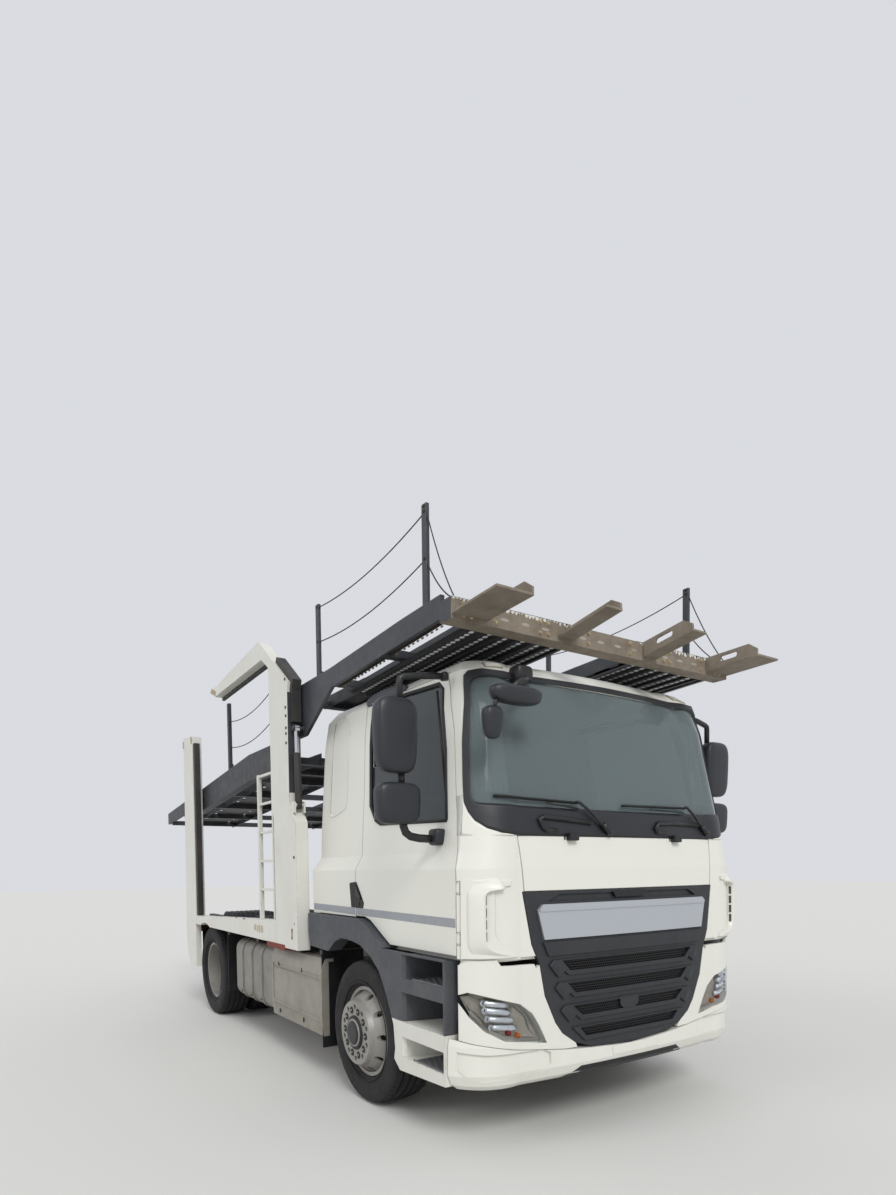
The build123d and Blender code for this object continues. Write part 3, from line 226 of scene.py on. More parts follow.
def material_set():
    """Every finish on the truck, by name."""
    finishes = {}

    def add(kind, name, *values, **options):
        finishes[name] = kind(name, *values, **options)

    white = rgb(224, 223, 214)
    add(worn, "cab_paint", white, rgb(200, 195, 182), 0.33, amount=0.06, scale=1.6, radius=0.006,
        low_dirt=0.2, uneven=0.0)
    add(worn, "body_white", rgb(217, 216, 208), rgb(178, 166, 142), 0.38, amount=0.24, scale=3, edge=RUST,
        edge_amount=0.75, specks=RUST, speck_size=0.735, radius=0.006)
    add(worn, "deck_slate", SLATE, rgb(96, 92, 88), 0.42, amount=0.4, edge=rgb(168, 162, 152),
        edge_amount=0.45, radius=0.006, specks=DARK_RUST, speck_size=0.76)
    add(worn, "deck_iron", rgb(46, 48, 53), rgb(78, 76, 73), 0.5, amount=0.35, scale=5,
        edge=rgb(126, 122, 116), edge_amount=0.4, specks=DARK_RUST, speck_size=0.74, bump=0.15)
    add(worn, "track_black", rgb(36, 37, 40), rgb(58, 54, 50), 0.55, amount=0.4, scale=8, bump=0.15,
        edge=rgb(84, 78, 72), edge_amount=0.4)
    # Pale ovals under the deck's tracks: painted light, standing for sky seen through holes
    add(shader, "hole_pale", rgb(216, 218, 222), 0.9)
    add(worn, "fork_beige", rgb(134, 123, 108), rgb(74, 58, 46), 0.62, amount=0.6, scale=7,
        edge=rgb(206, 200, 188), edge_amount=0.6, specks=RUST, speck_size=0.70, bump=0.25)
    add(worn, "chassis_black", rgb(34, 34, 35), rgb(84, 76, 64), 0.55, amount=0.45, bump=0.1,
        edge=rgb(92, 84, 72), edge_amount=0.4)
    add(worn, "grille_plastic", rgb(38, 40, 44), rgb(62, 61, 58), 0.5, amount=0.25, bump=0.12, grain=420,
        radius=0.005)
    add(worn, "arch_plastic", rgb(64, 68, 75), rgb(104, 100, 92), 0.5, amount=0.3, bump=0.12, grain=420,
        radius=0.008, low_dirt=0.5, edge=rgb(150, 148, 142), edge_amount=0.35)
    add(worn, "black_trim", rgb(26, 27, 29), rgb(54, 52, 48), 0.38, amount=0.25, bump=0.08, grain=420,
        radius=0.006)
    add(worn, "wheel_steel", rgb(150, 147, 141), rgb(100, 92, 80), 0.42, 0.2, amount=0.4, scale=6,
        edge=RUST, edge_amount=0.35)
    add(worn, "tyre_rubber", rgb(24, 24, 26), rgb(56, 53, 49), 0.8, amount=0.25, bump=0.3, grain=90,
        low_dirt=0.2)
    add(worn, "tank_alloy", rgb(142, 139, 132), rgb(104, 97, 86), 0.4, 0.35, amount=0.3, scale=3,
        low_dirt=0.5, radius=0.008)
    add(worn, "cover_silver", rgb(152, 148, 139), rgb(120, 112, 98), 0.4, 0.15, amount=0.25, scale=3,
        low_dirt=0.6, radius=0.008)
    add(shader, "brushed", rgb(186, 190, 195), 0.34, 0.6)
    add(shader, "lamp_bright", rgb(222, 224, 226), 0.16, 0.7)
    add(shader, "mirror_plastic", rgb(38, 40, 45), 0.42)
    add(shader, "scuttle_black", rgb(34, 35, 39), 0.45)
    add(shader, "blade_dark", rgb(34, 44, 44), 0.5)
    # Dark slots on the air deflector's inner wall: painted shade inside its openings
    add(shader, "slot_dark", rgb(70, 70, 66), 0.7)
    add(shader, "chrome", rgb(214, 216, 218), 0.07, 1.0)
    add(shader, "lens", rgb(238, 240, 242), 0.03, 0.0, Transmission_Weight=1.0, IOR=1.08)
    add(shader, "glass", rgb(92, 104, 108), 0.02, 0.0, Transmission_Weight=0.85, IOR=1.45)
    add(shader, "screen_glass", rgb(160, 172, 174), 0.04, 0.0, Transmission_Weight=0.7, IOR=1.15)
    add(worn, "cloth", rgb(58, 60, 68), rgb(40, 40, 46), 0.9, amount=0.5, scale=10, bump=0.5, grain=700)
    add(worn, "curtain", rgb(226, 228, 224), rgb(190, 190, 186), 0.85, amount=0.2, scale=8, bump=0.3,
        grain=600)
    add(worn, "rail_brown", rgb(72, 64, 55), rgb(44, 40, 36), 0.6, amount=0.5, scale=8, edge=RUST)
    # Cab white painted darker: painted shade for the rim of the quarter recess
    add(shader, "cab_shade", rgb(196, 197, 193), 0.4)
    add(worn, "tread_grey", rgb(88, 91, 94), rgb(116, 112, 104), 0.6, amount=0.4, scale=9)
    add(worn, "iron", rgb(50, 47, 44), rgb(92, 78, 62), 0.75, amount=0.5, bump=0.3, specks=DARK_RUST,
        speck_size=0.66)
    add(worn, "red_lens", rgb(140, 20, 14), rgb(80, 20, 14), 0.2, amount=0.3)
    add(worn, "orange_lens", rgb(214, 112, 20), rgb(150, 84, 24), 0.2, amount=0.3)
    add(worn, "stripe_grey", rgb(150, 154, 160), rgb(120, 120, 116), 0.3, amount=0.3)
    add(worn, "step_alloy", rgb(116, 118, 120), rgb(84, 80, 74), 0.5, 0.3, amount=0.5, scale=10)
    add(shader, "mesh_black", rgb(18, 19, 21), 0.5)
    add(worn, "plate_rust", rgb(176, 160, 126), RUST, 0.6, amount=0.7, scale=12, bump=0.3)
    add(worn, "marker_red", rgb(120, 40, 28), rgb(78, 46, 36), 0.6, amount=0.6, scale=12)
    add(worn, "worn_taupe", rgb(184, 176, 152), rgb(150, 134, 108), 0.6, amount=0.4, scale=14)
    add(shader, "seal", rgb(20, 20, 21), 0.55)
    add(worn, "lamp_back", rgb(172, 165, 152), rgb(146, 138, 124), 0.35, 0.3, amount=0.3)
    add(shader, "lamp_clear", rgb(226, 224, 214), 0.15)
    return finishes


MATERIALS = material_set()
# The finish of each CAD node; the nodes that aren't named take the finish of their record's slot
SLOT_FINISH = {"cab_paint": "cab_paint", "body_white": "body_white", "deck_grey": "deck_iron",
               "deck_beige": "fork_beige", "chassis_black": "chassis_black",
               "dark_plastic": "grille_plastic", "black_trim": "black_trim", "wheel_steel": "wheel_steel",
               "tyre_rubber": "tyre_rubber", "tank_alloy": "tank_alloy", "cover_silver": "cover_silver",
               "bright_bar": "brushed", "clear_lens": "lens", "cab_glass": "glass", "seat_cloth": "cloth",
               "axle_iron": "iron", "rod_chrome": "chrome", "red_lens": "red_lens"}
NODE_FINISH = {"over_cab_deck": "deck_slate", "entry_steps": "arch_plastic",
               "wheel_arch_trims": "arch_plastic", "windscreen": "screen_glass"}
FINISH_SLOT = {finish: slot for slot, finish in SLOT_FINISH.items()}
for slot, finishes in (
    ("deck_grey", ("deck_slate", "track_black", "hole_pale", "rail_brown")),
    ("black_trim", ("mirror_plastic", "scuttle_black", "blade_dark", "slot_dark", "mesh_black", "seal")),
    ("cover_silver", ("lamp_bright", "stripe_grey", "lamp_back")),
    ("dark_plastic", ("tread_grey", "arch_plastic")),
    ("red_lens", ("orange_lens", "marker_red")),
    ("cab_glass", ("screen_glass",)), ("cab_paint", ("cab_shade",)), ("body_white", ("worn_taupe",)),
    ("seat_cloth", ("curtain",)), ("tank_alloy", ("step_alloy",)), ("deck_beige", ("plate_rust",)),
    ("clear_lens", ("lamp_clear",)),
):
    FINISH_SLOT.update({finish: slot for finish in finishes})


def dress_nodes():
    """Gives each CAD node its finish."""
    for subpart in frame["record"]["subparts"]:
        node = subpart["node"]
        finish = NODE_FINISH.get(node, SLOT_FINISH[subpart["material_slot"]])
        mesh = NODES[node].data
        mesh.materials.clear()
        mesh.materials.append(MATERIALS[finish])


dress_nodes()


# Mesh building

BODY = "truck_body"
DOORS = ("door_right", "door_left")
FRONT_WHEELS = ("wheel_front_right", "wheel_front_left")
REAR_WHEELS = ("wheels_rear_right", "wheels_rear_left")


def circle(count):
    """Cosine and sine of equal steps round a circle."""
    return [(math.cos(math.tau * k / count), math.sin(math.tau * k / count)) for k in range(count)]


class Shape:
    """Collects points and faces, in millimetres from the front axle, into one joined mesh."""

    def __init__(self):
        self.points = []
        self.faces = []

    def add(self, points, faces):
        start = len(self.points)
        self.points += [Vector(p) for p in points]
        self.faces += [tuple(start + i for i in face) for face in faces]

    def box(self, x, y, z):
        """A box between (low, high) on each axis."""
        points = [Vector((a, b, c)) for a in x for b in y for c in z]
        self.add(points, ((0, 1, 3, 2), (4, 6, 7, 5), (0, 4, 5, 1), (2, 3, 7, 6), (0, 2, 6, 4), (1, 5, 7, 3)))

    def prism(self, outline, offset):
        """A closed prism from an outline of points, moved by an offset to its other end."""
        count = len(outline)
        far = [Vector(p) + Vector(offset) for p in outline]
        sides = [(i, (i + 1) % count, count + (i + 1) % count, count + i) for i in range(count)]
        self.add(list(outline) + far, [tuple(reversed(range(count))), tuple(range(count, 2 * count))] + sides)

    def rings(self, points, count, sides):
        """Rings of points, each joined to the next, with a cap at both ends."""
        faces = []
        for row in range(count - 1):
            for k in range(sides):
                a = row * sides + k
                b = row * sides + (k + 1) % sides
                faces.append((a, b, b + sides, a + sides))
        faces.append(tuple(reversed(range(sides))))
        faces.append(tuple(range((count - 1) * sides, count * sides)))
        self.add(points, faces)

    def grid(self, rows):
        """Rows of points, all of one length, with a face between each four neighbours."""
        wide = len(rows[0])
        faces = [(a, a + 1, a + wide + 1, a + wide) for i in range(len(rows) - 1)
                 for a in range(i * wide, (i + 1) * wide - 1)]
        self.add([point for row in rows for point in row], faces)

    def lathe(self, start, end, profile, sides=24):
        """Turns (share along, radius) points about the line from start to end, with closed ends."""
        start = Vector(start)
        way = Vector(end) - start
        side = way.orthogonal().normalized()
        other = way.normalized().cross(side)
        points = []
        for along, radius in profile:
            for c, s in circle(sides):
                points.append(start + way * along + radius * (c * side + s * other))
        self.rings(points, len(profile), sides)

    def tube(self, path, radius, sides=8):
        """A round tube through points."""
        path = [Vector(p) for p in path]
        points = []
        side = (path[1] - path[0]).orthogonal().normalized()
        for number, point in enumerate(path):
            way = path[min(number + 1, len(path) - 1)] - path[max(number - 1, 0)]
            way.normalize()
            side = (side - way * side.dot(way)).normalized()
            other = way.cross(side)
            for c, s in circle(sides):
                points.append(point + radius * (c * side + s * other))
        self.rings(points, len(path), sides)

    def mirrored(self):
        """Adds the mirror image on the truck's other side."""
        count = len(self.points)
        self.points += [Vector((-p.x, p.y, p.z)) for p in self.points]
        self.faces += [tuple(count + i for i in reversed(face)) for face in self.faces]
        return self

    def other_side(self):
        """The mirror image alone, for the truck's other side."""
        twin = Shape()
        twin.points = [Vector((-p.x, p.y, p.z)) for p in self.points]
        twin.faces = [tuple(reversed(face)) for face in self.faces]
        return twin

    def make(self, name, finish, body=BODY, bevel=0.0, smooth=False, replaces=()):
        """Turns what was collected into a piece that rides on a body."""
        mesh = bpy.data.meshes.new(name)
        mesh.from_pydata([at(*p) for p in self.points], [], self.faces)
        mesh.validate()
        mesh.update()
        piece = bpy.data.objects.new(name, mesh)
        bpy.context.scene.collection.objects.link(piece)
        mesh.materials.append(MATERIALS[finish])
        if smooth:
            for polygon in mesh.polygons:
                polygon.use_smooth = True
        if bevel:
            modifier = piece.modifiers.new("bevel", "BEVEL")
            modifier.width = bevel * MM
            modifier.segments = 2
            modifier.limit_method = "ANGLE"
        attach(piece, body)
        if replaces:
            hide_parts(*replaces)
        return piece


def both_sides(shape, name, finish, bodies=(BODY, BODY), stands_for="", **options):
    """Makes a right-hand piece and its mirror image, each on its own body and in place of its own node."""
    for side, one, body in zip(("right", "left"), (shape, shape.other_side()), bodies):
        replaces = (f"{stands_for}_{side}",) if stands_for else ()
        one.make(f"{name}_{side}", finish, body, replaces=replaces, **options)


# The cab's outer surface


def cab_row(z):
    """The cab's section at a height, worked out between two rings."""
    rows = CAB_RINGS
    if z <= rows[0][0]:
        return rows[0]
    for low, high in zip(rows, rows[1:]):
        if z <= high[0]:
            share = (z - low[0]) / (high[0] - low[0])
            return tuple(a + (b - a) * share for a, b in zip(low, high))
    return rows[-1]


def side_x(y, z):
    """Half width of the cab's side at Y and Z."""
    _, rear, front, edge_y, _, _, _ = cab_row(z)
    share = (y - edge_y) / (CAB_REAR_Y - edge_y)
    return front + (rear - front) * max(0.0, min(1.0, share))


def front_y(x, z):
    """Y of the cab's front at X and Z: the nose's arc, then the corner's arc."""
    _, _, front, edge_y, shoulder_x, shoulder_y, nose_y = cab_row(z)
    x = abs(x)
    if x <= shoulder_x:
        return nose_y + (shoulder_y - nose_y) * (x / shoulder_x) ** 2
    dx, dy = front - shoulder_x, edge_y - shoulder_y
    share = min(1.0, (x - shoulder_x) / dx)
    chord = shoulder_y + dy * share
    return chord - 4 * CORNER_SAG * math.hypot(dx, dy) * share * (1 - share) * dx / math.hypot(dx, dy)


# Wheels


TREAD_LUGS = 64


def tyre(middle_x, y):
    """A treaded tyre about a centre, with rounded shoulders and ribs with cross cuts."""
    shape = Shape()
    half = ((112, 302), (118, 306), (134, 322), (147, 352), (152, 392), (151, 428), (145, 452), (137, 464),
            (128, 471), (112, 475), (88, 477.5), (87, 465), (77, 465), (76, 478.5), (32, 479.5), (31, 466),
            (21, 466), (20, 479.5))
    profile = half + tuple((-x, r) for x, r in reversed(half))
    steps = TREAD_LUGS * 2
    count = len(profile)
    points = []
    for step in range(steps):
        angle = math.tau * step / steps
        notch = step % 2
        for x, radius in profile:
            r = radius
            if notch and radius > 470:
                r = radius - (5.0 if abs(x) > 90 else 1.6)
            points.append((middle_x + x, y + r * math.sin(angle), AXLE_Z + r * math.cos(angle)))
    faces = []
    for step in range(steps):
        for row in range(count - 1):
            a = step * count + row
            b = ((step + 1) % steps) * count + row
            faces.append((a, a + 1, b + 1, b))
        a = step * count
        b = ((step + 1) % steps) * count
        faces.append((a + count - 1, a, b, b + count - 1))
    shape.add(points, faces)
    return shape


def sidewall_rings(shape, x, y):
    """Two raised rings on the outer wall of a right-hand tyre."""
    for radius, proud in ((330, 1.2), (404, 0.8)):
        ring = [(0.0, radius - 5), (1.0, radius - 4), (1.0, radius + 4), (0.0, radius + 5)]
        points = []
        sides = 64
        for c, s in circle(sides):
            for along, r in ring:
                out = along * (proud + 3) - 3
                points.append((x - out, y + r * s, AXLE_Z + r * c))
        faces = []
        for k in range(sides):
            for row in range(3):
                a = k * 4 + row
                b = ((k + 1) % sides) * 4 + row
                faces.append((a, a + 1, b + 1, b))
        shape.add(points, faces)


def make_tyres():
    front = tyre(-FRONT_TYRE_X, 0)
    sidewall_rings(front, -FRONT_TYRE_X - 147, 0)
    both_sides(front, "tread_front", "tyre_rubber", FRONT_WHEELS, "tyre_front")
    rear = Shape()
    for x in REAR_TYRE_XS:
        one = tyre(-x, WHEELBASE)
        rear.add(one.points, one.faces)
    sidewall_rings(rear, -REAR_TYRE_XS[0] - 147, WHEELBASE)
    both_sides(rear, "tread_rear", "tyre_rubber", REAR_WHEELS, "tyres_rear")


WHEEL_NUTS = 10


def nuts(shape, x, y, reach, size, length):
    """Six-sided wheel nuts with their washers on a bolt circle of a right-hand wheel."""
    for number in range(WHEEL_NUTS):
        angle = math.tau * (number + 0.5) / WHEEL_NUTS
        cy, cz = y + reach * math.sin(angle), AXLE_Z + reach * math.cos(angle)
        shape.lathe((x, cy, cz), (x - length, cy, cz),
                    ((0, size * 1.35), (0.18, size * 1.35), (0.2, size), (0.85, size), (1.0, size * 0.72)), 6)
        shape.lathe((x - length * 0.9, cy, cz), (x - length * 1.25, cy, cz),
                    ((0, size * 0.5), (1, size * 0.45)), 8)


def make_wheel_trim():
    x = -FRONT_TYRE_X - 205
    front = Shape()
    nuts(front, x, 0, 150, 7, 12)
    both_sides(front, "front_nuts", "wheel_steel", FRONT_WHEELS, bevel=1.2)
    seats = Shape()
    for number in range(WHEEL_NUTS):
        angle = math.tau * (number + 0.5) / WHEEL_NUTS
        y, z = 150 * math.sin(angle), AXLE_Z + 150 * math.cos(angle)
        seats.lathe((x, y, z), (x - 2.5, y, z), ((0, 25), (1, 23)), 20)
    seats.lathe((x, 0, AXLE_Z), (x - 12, 0, AXLE_Z), ((0, 114), (0.5, 112), (1.0, 104)), 40)
    both_sides(seats, "front_hub_hollows", "seal", FRONT_WHEELS)
    cap = Shape()
    cap.lathe((x - 12, 0, AXLE_Z), (x - 26, 0, AXLE_Z), ((0, 82), (0.5, 80), (1.0, 66)), 40)
    both_sides(cap, "front_hub_cap", "black_trim", FRONT_WHEELS)
    x = -REAR_TYRE_XS[0] + 155
    rear = Shape()
    nuts(rear, x, WHEELBASE, 172, 16, 24)
    both_sides(rear, "rear_nuts", "wheel_steel", REAR_WHEELS, bevel=1.2)
    drum = Shape()
    drum.lathe((-REAR_TYRE_XS[0] + 38, WHEELBASE, AXLE_Z), (-REAR_TYRE_XS[0] + 16, WHEELBASE, AXLE_Z),
               ((0, 124), (0.4, 118), (0.6, 84), (1.0, 80)), 32)
    both_sides(drum, "rear_hub_cap", "wheel_steel", REAR_WHEELS, bevel=1.5)


# Front of the cab


STRIPS = ((1010, 560, 500, 30), (880, 520, 460, 30), (746, 480, 410, 30), (617, 430, 380, 26))
MESH_PITCH = 17.0
MESH_WALL = 3.0
MESH_DEPTH = 9


def make_grille_mesh():
    """Honeycomb in the four pockets of the grille, and the blank cover on the third."""
    shape = Shape()
    row_step = MESH_PITCH * math.sqrt(3) / 2
    outer = MESH_PITCH / math.sqrt(3)
    inner = outer - MESH_WALL
    for middle, top, bottom, tall in STRIPS:
        rows = int(2 * tall / row_step) + 1
        for row in range(rows):
            z = middle + (row - (rows - 1) / 2) * row_step
            half = bottom + (top - bottom) * (z - middle + tall) / (2 * tall) - 6
            columns = int(half / MESH_PITCH)
            for column in range(-columns, columns + 1):
                x = column * MESH_PITCH + (MESH_PITCH / 2 if row % 2 else 0)
                if abs(x) > half - 4:
                    continue
                y = front_y(x, z) + 3
                points = []
                for depth, radius in ((0, outer), (0, inner), (MESH_DEPTH, inner)):
                    for k in range(6):
                        angle = math.tau * (k + 0.5) / 6
                        points.append((x + radius * math.cos(angle), y + depth, z + radius * math.sin(angle)))
                faces = []
                for k in range(6):
                    j = (k + 1) % 6
                    faces.append((k, j, 6 + j, 6 + k))
                    faces.append((6 + k, 6 + j, 12 + j, 12 + k))
                shape.add(points, faces)
    shape.make("grille_honeycomb", "mesh_black")
    cover = Shape()
    y = front_y(-45, 752)
    outline = ((-105, 790), (61, 790), (55, 735), (20, 710), (-70, 710), (-100, 735))
    cover.prism([(x, y - 10, z) for x, z in outline], (0, 12, 0))
    cover.make("grille_cover", "grille_plastic", bevel=4)
    slot = Shape()
    y = front_y(0, 1400)
    slot.prism(((-150, y - 4, 1424), (150, y - 4, 1424), (120, y - 4, 1384), (-120, y - 4, 1384)), (0, 12, 0))
    slot.make("hood_catch", "mesh_black", bevel=3)


def on_front(x, z, proud):
    """A point of the cab's front surface, moved out along its normal."""
    step = 4.0
    slope_x = (front_y(x + step, z) - front_y(x - step, z)) / (2 * step)
    slope_z = (front_y(x, z + step) - front_y(x, z - step)) / (2 * step)
    return Vector((x, front_y(x, z), z)) + Vector((slope_x, -1.0, slope_z)).normalized() * proud


def front_skin(shape, first, second, across, proud, surface=on_front):
    """A thin skin over a front surface between two (X, Z) curves, turned in at both of them."""
    rows = []
    for (x0, z0), (x1, z1) in zip(first, second):
        row = [surface(x0, z0, -4.0)]
        for k in range(across + 1):
            share = k / across
            row.append(surface(x0 + (x1 - x0) * share, z0 + (z1 - z0) * share, proud))
        row.append(surface(x1, z1, -4.0))
        rows.append(row)
    shape.grid(rows)


def finer(points, steps):
    """A polyline with each stretch cut into equal steps."""
    result = []
    for (x0, z0), (x1, z1) in zip(points, points[1:]):
        for k in range(steps):
            result.append((x0 + (x1 - x0) * k / steps, z0 + (z1 - z0) * k / steps))
    result.append(points[-1])
    return result


# Black frame of the windscreen with the scuttle: outer edge and glass edge on the right-hand side
FRAME_OUTER = ((0, 1743), (-400, 1743), (-800, 1745), (-930, 1753), (-1000, 1778), (-1048, 1820),
               (-1070, 1866), (-1080, 1920), (-1068, 2080), (-1053, 2223), (-1021, 2430), (-995, 2585),
               (-985, 2630), (-962, 2658), (-900, 2671), (-400, 2676), (0, 2678))
FRAME_INNER = ((0, 1897), (-400, 1898), (-800, 1904), (-950, 1909), (-1015, 1913), (-1037, 1920),
               (-1048, 1938), (-1051, 1970), (-1041, 2090), (-1027, 2223), (-997, 2430), (-972, 2570),
               (-961, 2602), (-930, 2626), (-880, 2635), (-400, 2641), (0, 2643))
CORNER_CURVE = ((-860, 1744), (-930, 1753), (-1000, 1778), (-1048, 1820), (-1070, 1866), (-1080, 1920),
                (-1080, 1960))
CORNER_EDGE = ((-860, 1741), (-980, 1739), (-1070, 1739), (-1108, 1745), (-1099, 1830), (-1090, 1890),
               (-1084, 1960))
SEAM_ABOVE_BELT = ((1745, -1056), (1830, -1039), (1890, -1028), (1960, -1014))


def on_corner(x, z, proud):
    """As on_front, a little further out where the front bends round its corners."""
    share = max(0.0, min(1.0, (abs(x) - 700) / 120))
    lift = 8.0 + 8.0 * max(0.0, min(1.0, (z - 2560) / 60))
    return on_front(x, z, proud + (lift * share if proud > 0 else 0.0))


def make_screen_frame():
    """The black frame round the windscreen with the scuttle, and the painted corners beside it."""
    frame_skin = Shape()
    front_skin(frame_skin, finer(FRAME_OUTER, 4), finer(FRAME_INNER, 4), 8, 5.0, on_corner)
    frame_skin.mirrored().make("screen_frame", "scuttle_black", smooth=True, replaces=("scuttle_panel",))
    corners = Shape()
    front_skin(corners, finer(CORNER_CURVE, 4), finer(CORNER_EDGE, 4), 6, 2.0, on_corner)
    rows = []
    for z, seam in SEAM_ABOVE_BELT:
        _, _, front, edge_y, _, _, _ = cab_row(z)
        rows.append((Vector((-front - 1.6, edge_y - 1.6, z)), Vector((-side_x(seam, z) - 1.6, seam, z)),
                     Vector((-side_x(seam, z) + 8, seam + 1, z))))
    corners.grid(rows)
    both_sides(corners, "screen_corner", "cab_paint", smooth=True)


# Wipers: blade ends, arm's pivot and the two ends of the thin link, as (X, Z) on the cab's front
WIPERS = (
    ((-953, 1950), (-384, 1930), (-163, 1769), (-620, 1926), (-390, 1894)),
    ((-30, 1928), (586, 1936), (783, 1778), (210, 1914), (545, 1904)),
)
# Scuttle grips: recess top and bottom curves, and the path of the raised handle
GRIPS = (
    (((-688, 1851), (-480, 1840), (-261, 1824)), ((-642, 1764), (-460, 1760), (-285, 1760)),
     ((-560, 1768), (-625, 1772), (-652, 1790), (-672, 1832), (-640, 1847), (-480, 1836), (-300, 1822))),
    (((262, 1812), (460, 1842), (692, 1838)), ((262, 1776), (450, 1764), (622, 1764)),
     ((340, 1770), (272, 1778), (256, 1796), (290, 1830), (460, 1838), (680, 1832))),
)


def make_wipers():
    rubber = Shape()
    arms = Shape()
    for start, end, pivot, link_start, link_end in WIPERS:
        blade = finer((start, end), 10)
        rubber.tube([on_front(x, z, 9) for x, z in blade], 6, 6)
        arms.tube([on_front(x, z + 3, 19) for x, z in blade], 5.5, 6)
        arms.tube([on_front(*link_start, 22), on_front(*link_end, 22)], 4.5, 6)
        arms.tube([on_front(end[0] - 14, end[1] + 4, 22), on_front(end[0], end[1] + 2, 30),
                   on_front((end[0] * 2 + pivot[0]) / 3, (end[1] * 2 + pivot[1]) / 3, 34),
                   on_front((end[0] + pivot[0] * 2) / 3, (end[1] + pivot[1] * 2) / 3, 26),
                   on_front(*pivot, 20)], 9, 8)
        x, z = pivot
        heel = (on_front(x - 52, z + 42, 24), on_front(x - 20, z + 16, 24), on_front(x + 4, z - 4, 22))
        arms.tube(heel, 17, 10)
        arms.lathe(on_front(x, z, 2), on_front(x, z, 40), ((0, 20), (0.8, 19), (1, 12)), 20)
    rubber.make("wiper_rubber", "seal", smooth=True)
    arms.make("wiper_arms", "black_trim", smooth=True)


def make_scuttle_grips():
    hollows = Shape()
    bars = Shape()
    for top, bottom, path in GRIPS:
        front_skin(hollows, finer(top, 6), finer(bottom, 6), 3, 3.6)
        bars.tube([on_front(x, z, 12) for x, z in path], 15, 12)
        bars.lathe(on_front(*path[-1], -4), on_front(*path[-1], 24), ((0, 16), (0.8, 16), (1, 11)), 16)
    hollows.make("grip_hollows", "seal")
    bars.make("scuttle_grips", "black_trim", smooth=True)


def make_hood_hinges():
    """The two dark hinges at the hood's top edge."""
    shape = Shape()
    shape.box((-484, -416), (-1279, -1240), (1716, 1758))
    shape.mirrored().make("hood_hinges", "black_trim", "hood", bevel=6)


def make_sun_blades():
    """Two dark blades that hang behind the top of the windscreen."""
    shape = Shape()
    for outline in (((-139, 2560), (-39, 2636), (138, 2638), (60, 2560), (-20, 2494), (-84, 2494)),
                    ((352, 2566), (441, 2640), (640, 2636), (560, 2550), (500, 2492), (420, 2496))):
        shape.prism([(x, front_y(x, z) + 26, z) for x, z in outline], (0, 5, 0))
    shape.make("sun_blades", "blade_dark", bevel=2)


def make_marker_lamps():
    """The two marker lamps on the header above the windscreen."""
    frames = Shape()
    lenses = Shape()
    outline = ((-866, 2690), (-804, 2697), (-742, 2702), (-728, 2738), (-790, 2735), (-850, 2728))
    inner = ((-856, 2696), (-804, 2702), (-748, 2707), (-737, 2732), (-790, 2729), (-842, 2723))
    for shape, points, proud in ((frames, outline, 9), (lenses, inner, 12)):
        front_skin(shape, points[:3], tuple(reversed(points[3:])), 2, proud)
        for end in (0, 2):
            low, high = points[end], points[5 - end]
            corners = ((*low, -4), (*low, proud), (*high, proud), (*high, -4))
            shape.add([on_front(*corner) for corner in corners], [(0, 1, 2, 3)])
    both_sides(frames, "marker_frames", "lamp_back")
    both_sides(lenses, "marker_lenses", "lamp_clear")


# Air deflector at each front corner: height, X of its inner wall, how proud there and at its outer end
DEFLECTOR = ((1524, -1010, 0.0, 0.0), (1512, -975, 10, 6), (1496, -958, 24, 14), (1478, -950, 36, 20),
             (1464, -946, 44, 24), (1452, -946, 48, 27), (1447, -985, 52, 28), (1442, -1012, 56, 29),
             (1432, -1026, 60, 30), (1416, -1033, 63, 30), (1360, -1034, 66, 31), (1295, -1034, 67, 31),
             (1230, -1034, 66, 31), (1180, -1033, 62, 30), (1158, -1029, 58, 30), (1138, -1016, 52, 29),
             (1122, -992, 44, 27), (1108, -958, 34, 25), (1097, -918, 24, 22), (1088, -888, 12, 17),
             (1080, -900, 4, 9), (1074, -930, 0.0, 0.0))
# The gentle slope inside the deflector: height, how proud at the wall's foot, X where it runs out
DEFLECTOR_SLOPE = ((1516, 0.0, -860), (1500, 12, -860), (1490, 16.5, -858), (1465, 16.5, -858),
                   (1430, 16.5, -872), (1300, 16.5, -880), (1150, 16.5, -872), (1112, 16.5, -850),
                   (1088, 16.5, -840), (1080, 10, -840), (1070, 0.0, -840))
DEFLECTOR_STEPS = 14
DEFLECTOR_EDGE = -1119
SLOPE_STEPS = 8
SLOPE_FOOT = -1012


